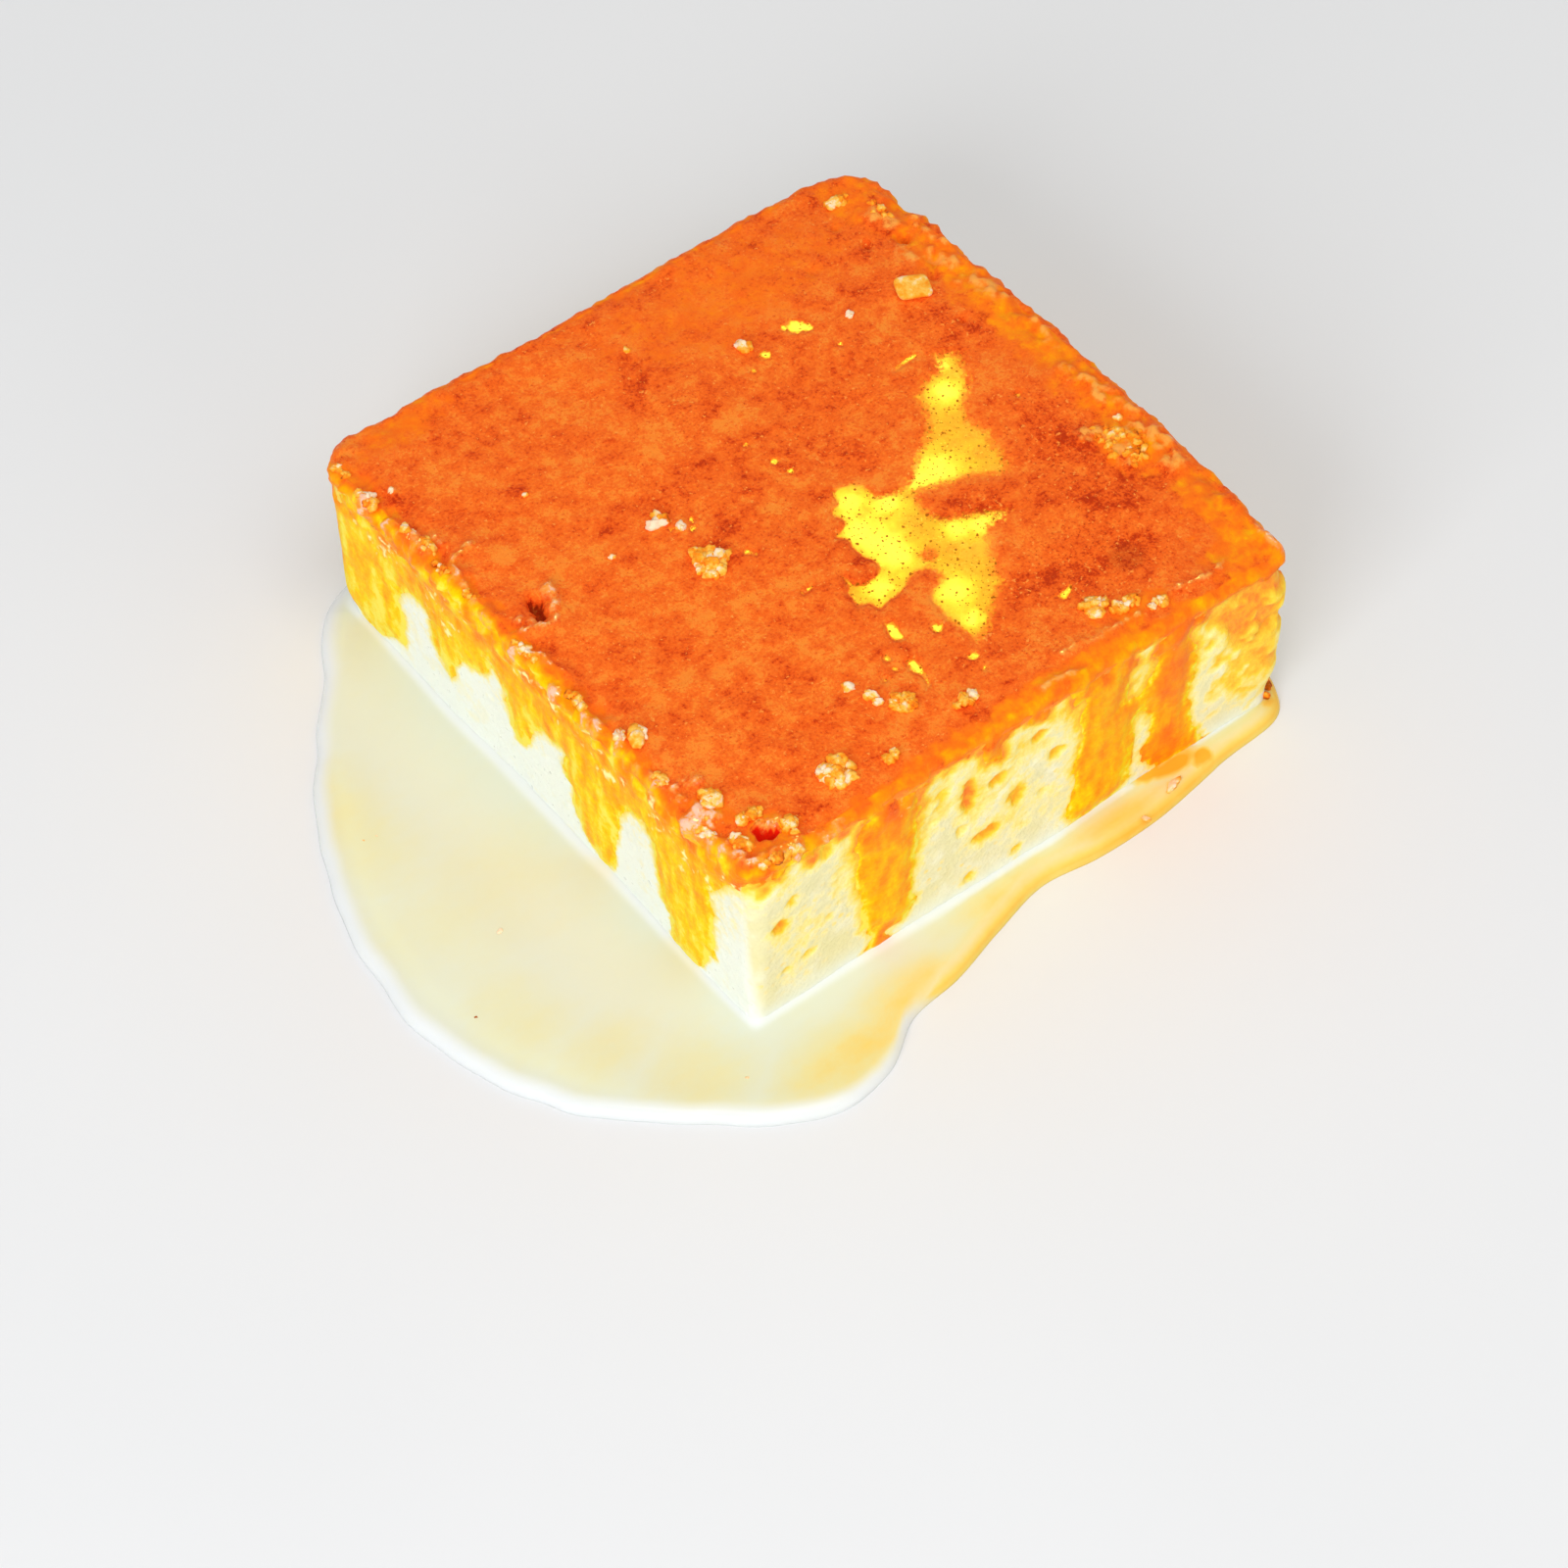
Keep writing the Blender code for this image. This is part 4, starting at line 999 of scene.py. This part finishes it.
# The top's sheen mark, for a coat and a painted pink-white sheen on its lumps and ridges: less over the +X
# half and along most of the +X edge, none in the red hollows
painted_sheen_reach = 1 - 0.75 * smooth(grid_x, 30, 36) * smooth(grid_y, -34, -28)
painted_sheen_reach *= 1 - 0.3 * smooth(grid_x, -20, 0)
# The burnt mark: burnt caramel in the dark places, and painted shade inside the hollows that are not red
burnt = strongest(grid_x, grid_y, DARK_PLACES, 0.2, 1.3) + 1.5 * smooth(hollow, 0.3, 1) * (1 - red)
side_up_ridge = side_ridge_up * ridge_reach
lump_sheen = (top_crag + 1.3 * ridge_up) * painted_sheen_reach * (1 - red)
caramel = new_piece(
    "caramel_layer",
    points,
    np.concatenate(quads),
    wet_caramel(),
    {
        "film": caramel_mark(film, -1, -1),
        "bright": caramel_mark(bright, 0),
        "burnt": caramel_mark(burnt, 0),
        "tint": caramel_mark(1 - thin_share(grid_x, grid_y) + red, side_tint, HIDDEN_TINT),
        "border": caramel_mark(0.2 * smooth(grid_x, 34, 39), drip_border),
        "crumbly": caramel_mark(0, left_band * on_left + 0.4 * right_band * on_right),
        "sheen": caramel_mark(lump_sheen, crag + 1.3 * side_up_ridge),
        "raised": caramel_mark(0.6 * top_crag + ridge_up, 0.5 * crag + side_up_ridge),
    },
    (inner_numbers[-1][::-1],),
)
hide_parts("caramel")

# The caramel has soaked into the crumb beside the drips, and the crumb is stained yellow there: strongly
# in a narrow border, faintly and wider high up, and more under the right side's lip
BORDER_SOAK = 0.36
WIDE_SOAK = 0.26
LIP_SOAK = 0.24
beside = np.clip(-inside[:skin_rows], 0, 20)
soak = (BORDER_SOAK - 0.08 * on_left) * np.exp(-beside / (0.8 - 0.4 * on_left))
soak += (WIDE_SOAK - 0.1 * on_left) * np.exp(-beside / 4) * smooth(level, 6, 22)
soak += LIP_SOAK * on_right * np.exp(-beside / 1.7) * smooth(level, 19, 27)
soaked = np.concatenate([np.maximum(soak, pore_caramel), under_caramel + 1])
sponge.data.attributes["soaked"].data.foreach_set("value", soaked.ravel().astype(np.float32))

# The milk: what has seeped out of the sponge, a shallow film with a round raised rim. It clings to the
# foot of the cake in a white line, and the caramel has tinted it in drifts.
POOL_DEPTH = 1.5
FOOT_GAP = -0.7
LEAST_WIDTH = 1.6
# At the foot the milk climbs this high above the film within this width, but less on the narrow strip
WETTING_RISE = 0.9
WETTING_WIDTH = 0.9
STRIP_FLATTER = 0.8
# The rim is this wide, with a bead along it, and wobbles a little
RIM_WIDTH = 2.4
RIM_BEAD = 0.12
BEAD_WIDTH = 1.6
RIM_WOBBLE = 0.5
MILK_RIPPLE = 0.03
FILM_STEPS = 26
RIM_STEPS = 9
# The rim's amber line and the strip beside it, as (strength, distance from the rim, width)
RIM_LINE = (0.8, 0.4, 0.9)
RIM_STRIP = (0.7, 0, 3.6)
# The pool's rim, as distances from the slab's middle at these bearings in degrees
POOL_RIM = (
    (-176, 71.4), (-164, 74.7), (-150, 75), (-139, 72.7), (-130, 71.6), (-124, 69.4), (-119, 64.5),
    (-115, 57.6), (-108, 53.6), (-100, 49.4), (-90, 46.6), (-80, 48.3), (-70, 50.6), (-58, 54), (-46, 59.6),
    (-25, 47.4), (0, 43.4), (25, 47.6), (46, 59.6), (68, 48), (90, 45.2), (112, 48.2), (134, 60.4),
    (146, 60.6), (156, 62.6), (170, 67),
)
# Drifts of caramel in the milk, as (X, Y, half width, half depth, strength)
DRIFTS = (
    (-61, 12, 8, 17, 0.24), (-56, -6, 20, 12, 0.12), (-62, -24, 8, 9, 0.22), (-34, -53, 14, 7, 0.58),
    (-50, -44, 9, 8, 0.3), (-22, -50, 13, 5.5, 0.6), (-2, -45.5, 18, 3.8, 0.5), (-7, -51.5, 10, 2.6, 0.66),
    (-57, -34, 8, 6, 0.25), (14, -46.5, 22, 5.5, 0.62), (34, -47, 14, 5, 0.56), (24, -43, 5.6, 2.1, 1.1),
    (27.6, -44.2, 2.6, 1.9, 1.1), (20.6, -42, 3.6, 2, 1.1), (21.7, -45.2, 1.2, 1.2, 0.9),
    (40, -42.6, 3, 1.6, 0.8), (36.6, -44.6, 4, 0.9, 0.7),
)
# Milk from the palest to where it is most tinted, and where it lies at the foot and at the rim
MILK_SHADES = {
    0: (226, 229, 208), 0.22: (229, 225, 184), 0.42: (235, 221, 156), 0.65: (245, 208, 100),
    0.9: (250, 180, 50),
}
FOOT_MILK = (240, 243, 237)
RIM_MILK = (232, 234, 234)


def pool_reach(bearing):
    """Distance from the slab's middle to the pool's rim, by a smooth curve through POOL_RIM."""
    degrees = math.degrees(bearing)
    last = sum(place[0] <= degrees for place in POOL_RIM) - 1
    knots = []
    for number in range(last - 1, last + 3):
        turns, place = divmod(number, len(POOL_RIM))
        knots.append((POOL_RIM[place][0] + 360 * turns, POOL_RIM[place][1]))
    (b0, r0), (b1, r1), (b2, r2), (b3, r3) = knots
    t = (degrees - b1) / (b2 - b1)
    slope_in = (r2 - r0) / (b2 - b0) * (b2 - b1)
    slope_out = (r3 - r1) / (b3 - b1) * (b2 - b1)
    reach = r1 * (2 * t**3 - 3 * t**2 + 1) + r2 * (3 * t**2 - 2 * t**3)
    return reach + slope_in * (t**3 - 2 * t**2 + t) + slope_out * (t**3 - t**2)


def sweet_milk():
    """Milk with caramel in it: nearly white at the foot and the rim, with yellow and amber drifts."""
    constants = {"Subsurface Weight": 0.25, "Subsurface Scale": 3 * MM, "IOR": 1.36}
    constants["Subsurface Radius"] = (1, 0.9, 0.7)
    material, place = new_finish("sweet_milk", constants)
    tint, foot, rim = place.marks("tint", "from_foot", "from_rim")
    flowing = place.vector("MULTIPLY", (0.6, 1.4, 1)).grain(9, 4, 0.6)
    uneven = flowing.swing(0.5) + place.grain(1.2, 3, 0.6).swing(0.1)
    drift = tint + uneven * tint.between(-0.4, 0.5)
    off_foot = (foot.between(1.2, 3.4) + tint.between(0.1, 0.5)).between(0, 1)
    body = off_foot.blend(FOOT_MILK, drift.ramp(MILK_SHADES))
    pale_rim = (1 - rim.between(0.6, 2.8)) * (1 - tint.between(0.35, 0.7))
    body = (pale_rim * 0.85).blend(body, RIM_MILK)
    return finish_with(material, {"Base Color": body, "Roughness": 0.08 + rim.between(1.2, 3.4) * 0.16})


foot = cut_side(0 * walked[None], FOOT_GAP)[0, :, :2]
bearings = np.arctan2(foot[:, 1], foot[:, 0])
outward = np.stack([np.cos(bearings), np.sin(bearings)], axis=-1)
reach = np.array([pool_reach(bearing) for bearing in bearings])
reach += RIM_WOBBLE * smooth(reach, 50, 60) * rough(flat(*(outward.T * reach)), 6, 2)
width = np.maximum(reach - np.hypot(*foot.T), LEAST_WIDTH)
rim_width = np.minimum(RIM_WIDTH, 0.6 * width)
depth = POOL_DEPTH * np.minimum(1, 0.55 + 0.45 * width / 6)
beaded = smooth(width, 4, 9)
film_across = np.linspace(0, 1, FILM_STEPS)[:, None] ** 1.6 * (width - rim_width)
on_strip = smooth(foot[:, 0], -26, -8) * (foot[:, 1] < -SLAB_Y / 2 + 6)
wetting_rise = WETTING_RISE * (1 - STRIP_FLATTER * on_strip)
film_height = depth + wetting_rise * np.exp(-film_across / WETTING_WIDTH)
film_height += RIM_BEAD * hump(film_across - width + rim_width, BEAD_WIDTH) * beaded
rim_turn = np.radians(np.linspace(0, 88, RIM_STEPS)[1:])[:, None]
rim_across = width - rim_width * (1 - np.sin(rim_turn))
rim_fall = (depth + RIM_BEAD * beaded) * np.cos(rim_turn)
pool_across = np.concatenate([0 * width[None], film_across, rim_across, (width - 0.02)[None]])
pool_height = np.concatenate([0 * width[None], film_height, rim_fall, 0 * width[None]])
pool_xy = foot + outward * pool_across[..., None]
pool_x, pool_y = pool_xy[..., 0], pool_xy[..., 1]
pool_flat = flat(pool_x, pool_y)
pool_height[1:-2] += MILK_RIPPLE * rough(pool_flat[1:-2], 7, 3)
pool_points = np.concatenate([pool_xy, pool_height[..., None]], axis=-1)

pool_tint = np.zeros(pool_height.shape)
drift_jitter = 0.45 * rough(pool_flat, 1.6, 12) + 0.25 * rough(pool_flat, 0.8, 13)
for drift in DRIFTS:
    uneven = drift_jitter * min(1, 1.6 / drift[2])
    pool_tint = np.maximum(pool_tint, strongest(pool_x, pool_y, [drift], 0.1, 1.2, uneven))
from_rim = width - pool_across
tinted_rim = smooth(pool_x, -30, -18) * (pool_y < -30)
for strength, distance, line_width in (RIM_LINE, RIM_STRIP):
    pool_tint = np.maximum(pool_tint, strength * tinted_rim * hump(from_rim - distance, line_width))
pool_numbers = numbered(pool_points)
milk = new_piece(
    "milk_film",
    pool_points.reshape(-1, 3),
    belt(np.concatenate([pool_numbers, pool_numbers[:1]]))[:, ::-1],
    sweet_milk(),
    {"tint": pool_tint, "from_foot": pool_across, "from_rim": from_rim},
)
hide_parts("milk_pool")

# The crumbs: bits of sponge that the knife has left on the wet caramel. Each is a heap of grains that has
# sunk in a little, pale on top and stained where it touches the caramel.
CRUMB_SEED = 5
GRAIN_ROUGHNESS = 0.55
BALL_CUTS = 3
HEAP_RISE = 0.5
UNDERSIDE_STAIN = 0.3
# Heaps as (X, Y, half width, half depth, number of grains, size of a grain, how pale)
HEAPS = (
    (-16.5, 8, 0.05, 0.05, 1, 0.95, 0.95), (-15.7, 8.9, 0.05, 0.05, 1, 0.95, 0.9),
    (-15.4, 8, 0.05, 0.05, 1, 0.9, 0.55), (-14.6, 5.7, 0.2, 0.2, 2, 0.75, 1.1),
    (-15.2, -1, 1.9, 2.3, 30, 0.8, 0.6), (-38.6, -17.8, 0.6, 0.7, 5, 1, 0.85),
    (-37.9, -30.2, 1, 1, 9, 1.05, 0.85), (-39.7, -32.6, 0.9, 0.9, 6, 0.7, 0.6),
    (-23.6, -36.2, 1.9, 1.9, 26, 0.75, 0.62), (-14.6, -27, 0.2, 0.2, 2, 0.55, 0.9),
    (-13.4, -30, 0.4, 1.2, 6, 0.6, 0.62), (-10.9, -33, 1.6, 1.4, 16, 0.6, 0.6),
    (-4.7, -37, 1.6, 0.9, 10, 0.6, 0.6), (16.8, -34.8, 1.4, 1.4, 13, 0.65, 0.64),
    (19.6, -37.2, 2, 0.9, 14, 0.6, 0.6), (23, -39.2, 1.2, 0.7, 8, 0.55, 0.58),
    (10.1, 25, 0.3, 0.5, 3, 1.05, 0.85), (-35.2, -35.4, 1.9, 0.5, 10, 0.6, 0.55),
    (-32.9, -39.2, 0.6, 1.3, 9, 0.65, 0.62), (-36.6, -42.3, 2.8, 0.4, 15, 0.6, 0.6),
    (-39, -37.8, 0.7, 1.4, 10, 0.65, 0.55), (35.2, 38.4, 1.8, 1.2, 8, 0.5, 0.6),
    (38.3, 33.5, 0.8, 2, 8, 0.5, 0.4), (36.8, -16.2, 3.2, 4.6, 36, 0.55, 0.42),
    (-41, 12.8, 0.3, 0.9, 5, 0.45, 0.6), (-40.8, 25.6, 0.5, 1.2, 6, 0.6, 0.6),
    (-40.6, 22.6, 0.9, 1, 9, 0.75, 0.6), (-41.4, 33, 0.7, 2.2, 11, 0.55, 0.65),
    (-38.3, 32.3, 0.1, 0.3, 2, 0.5, 1), (-40.9, -8.5, 0.5, 1.4, 8, 0.45, 0.65),
    (-40.6, -24.5, 0.5, 1.6, 9, 0.48, 0.65), (-40.4, -16.2, 0.7, 0.6, 6, 0.55, 0.95),
    (-41, -34.4, 0.5, 1.6, 9, 0.5, 0.7), (-41, 1.5, 0.4, 2.2, 10, 0.42, 0.65),
    (-41.2, 18, 0.4, 2, 8, 0.42, 0.6), (-1.7, 33.5, 0.1, 0.1, 1, 0.45, 0.7),
    (-26.2, 21.7, 0.1, 0.1, 1, 0.5, 0.8), (-24, 6.9, 0.1, 0.1, 1, 0.45, 0.8),
    (23.8, 21.2, 0.3, 0.6, 3, 0.4, 0.9), (-17, -38.5, 0.8, 0.6, 6, 0.55, 0.6),
    (-41.2, 39.6, 0.4, 1.6, 8, 0.5, 0.62),
)
# The dark sticky bit at the foot of the right corner, as (X, Y, height, size), and how pale it is
FOOT_BITS = (
    (40.3, -40.9, 3.4, 0.75), (40.7, -41.1, 2.4, 0.7), (39.9, -41.9, 1.7, 0.55),
)
FOOT_PALE = 0.12
# The specks that float in the milk, as (X, Y, size, how pale)
FLOATING = (
    (21.7, -45.4, 0.8, 0.7), (15.9, -47.3, 0.45, 0.7), (-56.3, -12, 0.34, 1.05), (-61.2, 9.4, 0.14, 0.7),
    (-59.5, 9, 0.12, 0.7), (-66, -20.5, 0.15, -0.3), (-46, -47.5, 0.18, 0.7),
)
# The flat chip on top: its place, half its length, width and height, how square it is, and how it lies
CHIP_PLACE = (32.9, 19.8)
CHIP_SIZE = (2.3, 1.9, 0.45)
CHIP_SQUARE = 0.45
CHIP_TURN = -0.35
CHIP_SLOPE = 0.12
CHIP_PALE = 0.62
# Crumb stuck in caramel, from its stained underside to its pale top
STUCK_SHADES = {
    0: (170, 80, 8), 0.25: (255, 128, 24), 0.5: (255, 164, 38), 0.75: (255, 196, 84), 1: (255, 226, 190),
}


def crumb_finish():
    """Sponge crumb stuck in caramel: cream to orange, moist, with fine grain."""
    constants = {"Specular Tint": (1, 0.6, 0.2, 1), "Coat Roughness": 0.2, "Specular IOR Level": 0.12}
    material, place = new_finish("stuck_crumb", constants)
    pale = place.marks("pale")[0] + place.grain(0.5, 3, 0.6).swing(0.9) + place.grain(1.7).swing(1.2)
    grains = place.grain(0.35, 3, 0.6)
    tones = {"Base Color": pale.ramp(STUCK_SHADES), "Roughness": 0.35 + grains * 0.3}
    tones["Coat Weight"] = grains.between(0.52, 0.66) * 0.3
    tones["Normal"] = place.relief(grains, 0.06)
    return finish_with(material, tones)


def grain_shape():
    """Points and triangles of a ball, from which every grain is made."""
    ball = bpy.data.meshes.new("ball")
    shape = bmesh.new()
    bmesh.ops.create_icosphere(shape, subdivisions=BALL_CUTS, radius=1.0)
    shape.to_mesh(ball)
    shape.free()
    points = np.array([vertex.co for vertex in ball.vertices])
    faces = np.array([list(face.vertices) for face in ball.polygons])
    bpy.data.meshes.remove(ball)
    return points, faces


def top_at(x, y):
    """Height of the caramel's top at one place."""
    return float(poured_top(np.array([x]), np.array([y]))[0])


def add_grain(place, size, pale, stretch=(1, 1, 0.8), turned=True):
    """One lumpy grain, which may be turned at random. Its lower part is stained."""
    seed = draw.uniform(0, 50)
    lumpy = rough(ball, 0.8, seed) + 0.5 * rough(ball, 0.35, seed)
    lumps = 1 + GRAIN_ROUGHNESS / max(1, size) ** 1.5 * lumpy
    stretch = np.array(stretch) * [draw.uniform(0.75, 1.3) for _ in range(3)]
    spin, tip = draw.uniform(0, math.tau), draw.uniform(-0.5, 0.5)
    turn = Matrix.Rotation(spin, 3, "Z") @ Matrix.Rotation(tip, 3, "X")
    turn = np.array(turn if turned else Matrix.Identity(3))
    shape = (ball * lumps[:, None] * stretch) @ turn.T * size
    grains.append((shape + place, pale + UNDERSIDE_STAIN * ball[:, 2]))


draw = random.Random(CRUMB_SEED)
ball, ball_faces = grain_shape()
grains = []
for x, y, half_width, half_depth, count, size, pale in HEAPS:
    core = min(half_width, half_depth)
    if core > 1 and pale > 0.5:
        core_stretch = (half_width / core, half_depth / core, 0.5)
        add_grain((x, y, top_at(x, y)), 0.75 * core, pale - 0.15, core_stretch, turned=False)
    for _ in range(count):
        angle, share = draw.uniform(0, math.tau), math.sqrt(draw.uniform(0, 1))
        spot_x, spot_y = x + half_width * share * math.cos(angle), y + half_depth * share * math.sin(angle)
        grain = size * draw.uniform(0.7, 1.2)
        lift = 0.05 * grain + HEAP_RISE * size * (1 - share) * (count > 4)
        spot = (spot_x, spot_y, top_at(spot_x, spot_y) + lift)
        add_grain(spot, grain, pale - 0.2 + draw.uniform(-0.25, 0.3))
for x, y, z, size in FOOT_BITS:
    add_grain((x, y, z), size, FOOT_PALE)
for x, y, size, pale in FLOATING:
    add_grain((x, y, POOL_DEPTH), size, pale, (1.2, 1, 0.35))
chip = np.sign(ball) * np.abs(ball) ** CHIP_SQUARE * CHIP_SIZE
chip = chip @ np.array(Matrix.Rotation(CHIP_TURN, 3, "Z") @ Matrix.Rotation(CHIP_SLOPE, 3, "Y")).T
chip += 0.12 * rough(chip, 1, 3)[:, None]
grains.append((chip + (*CHIP_PLACE, top_at(*CHIP_PLACE) + 0.5), CHIP_PALE + 0 * ball[:, 2]))
crumbs = new_piece(
    "stuck_crumbs",
    np.concatenate([shape for shape, _ in grains]),
    np.concatenate([ball_faces + len(ball) * number for number in range(len(grains))]),
    crumb_finish(),
    {"pale": np.concatenate([pale for _, pale in grains])},
)

# The table under the cake: a plain pale floor
FLOOR_SIZE = 3000
FLOOR_GREY = (230, 230, 230)
LIGHT_FLOOR_GREY = (233, 233, 233)


def plain_floor():
    """Pale matt floor with a faint unevenness of tone."""
    material, place = new_finish("pale_floor", {"Specular IOR Level": 0.1})
    cloud = place.grain(180, 3)
    shade = cloud.between(0.3, 0.7).blend(FLOOR_GREY, LIGHT_FLOOR_GREY)
    return finish_with(material, {"Base Color": shade, "Roughness": 0.8 + cloud * 0.1})


floor_corners = np.array([(-1, -1, 0), (1, -1, 0), (1, 1, 0), (-1, 1, 0)]) * FLOOR_SIZE / 2
floor_mesh = bpy.data.meshes.new("floor")
floor_mesh.from_pydata(floor_corners * MM, [], [(0, 1, 2, 3)])
floor_mesh.materials.append(plain_floor())
floor = placed("floor", floor_mesh)

# The camera, as in the photograph
CAMERA_PLACE = (-272.353, -352.083, 548.326)
CAMERA_RIGHT = (0.788194, -0.615368, -0.008528)
CAMERA_UP = (0.490759, 0.620106, 0.612065)
CAMERA_LENS = 129.10
CAMERA_SENSOR = 36
NEAREST_SEEN = 10

camera_data = bpy.data.cameras.new("camera")
camera_data.lens = CAMERA_LENS
camera_data.sensor_width = CAMERA_SENSOR
camera_data.clip_start = NEAREST_SEEN * MM
camera = placed("camera", camera_data)
across_way = Vector(CAMERA_RIGHT).normalized()
up_way = (Vector(CAMERA_UP) - across_way * across_way.dot(Vector(CAMERA_UP))).normalized()
camera_turn = Matrix((across_way, up_way, across_way.cross(up_way))).transposed().to_4x4()
camera.matrix_world = Matrix.Translation(Vector(CAMERA_PLACE) * MM) @ camera_turn
bpy.context.scene.camera = camera

# The light: soft daylight all round, with broad windows at the left, in front and overhead, and two small
# bright ones that show only as reflections: a glint from the left, and what the wet film mirrors
SKY = 0.6
WHITE = (1, 1, 1)
COOL_WHITE = (0.97, 1, 1.04)
SYRUPY = (0.9, 1, 0.22)
CAKE_MIDDLE = (0, 0, 15)
LEFT_PLACE = (-790, -420, 520)
# Soft windows as (name, place, what it faces, size, watts, tint)
SOFT_WINDOWS = (
    ("left_window", LEFT_PLACE, CAKE_MIDDLE, 500, 4.7, COOL_WHITE),
    ("front_window", (60, -900, 260), CAKE_MIDDLE, 500, 0.75, WHITE),
    ("overhead_window", (-100, -420, 1000), (0, 0, 0), 600, 2.7, WHITE),
)
GLINT_SIZE = 160
GLINT_RADIANCE = 30
PATCH_MIDDLE = (12, -11, 29.5)
MIRROR_DISTANCE = 700
MIRROR_SIZE = 180
MIRROR_RADIANCE = 19


def add_window(name, place, aim, size, watts, tint):
    """A square area light at a place in millimetres that faces another."""
    light = bpy.data.lights.new(name, "AREA")
    light.shape = "SQUARE"
    light.size = size * MM
    light.energy = watts
    light.color = tint
    window = placed(name, light)
    window.location = Vector(place) * MM
    window.rotation_euler = (Vector(aim) - Vector(place)).to_track_quat("-Z", "Y").to_euler()
    return window


def add_mirrored_window(name, place, aim, size, radiance, tint):
    """A window this bright all over that shows only as its reflection in what is wet."""
    window = add_window(name, place, aim, size, radiance * math.pi * (size * MM) ** 2, tint)
    window.visible_diffuse = False


world = bpy.data.worlds.new("daylight")
bpy.context.scene.world = world
world.use_nodes = True
world.node_tree.nodes["Background"].inputs["Color"].default_value = (SKY, SKY, SKY, 1)
for window in SOFT_WINDOWS:
    add_window(*window)
add_mirrored_window("glint_window", LEFT_PLACE, CAKE_MIDDLE, GLINT_SIZE, GLINT_RADIANCE, WHITE)
level_normal = Vector((TOP_TILT, TOP_TILT, 1)).normalized()
to_camera = (Vector(CAMERA_PLACE) - Vector(PATCH_MIDDLE)).normalized()
mirrored = 2 * level_normal.dot(to_camera) * level_normal - to_camera
mirror_place = Vector(PATCH_MIDDLE) + mirrored * MIRROR_DISTANCE
add_mirrored_window("mirrored_window", mirror_place, PATCH_MIDDLE, MIRROR_SIZE, MIRROR_RADIANCE, SYRUPY)

bpy.context.scene.view_settings.view_transform = "Standard"
bpy.context.scene.view_settings.look = "None"
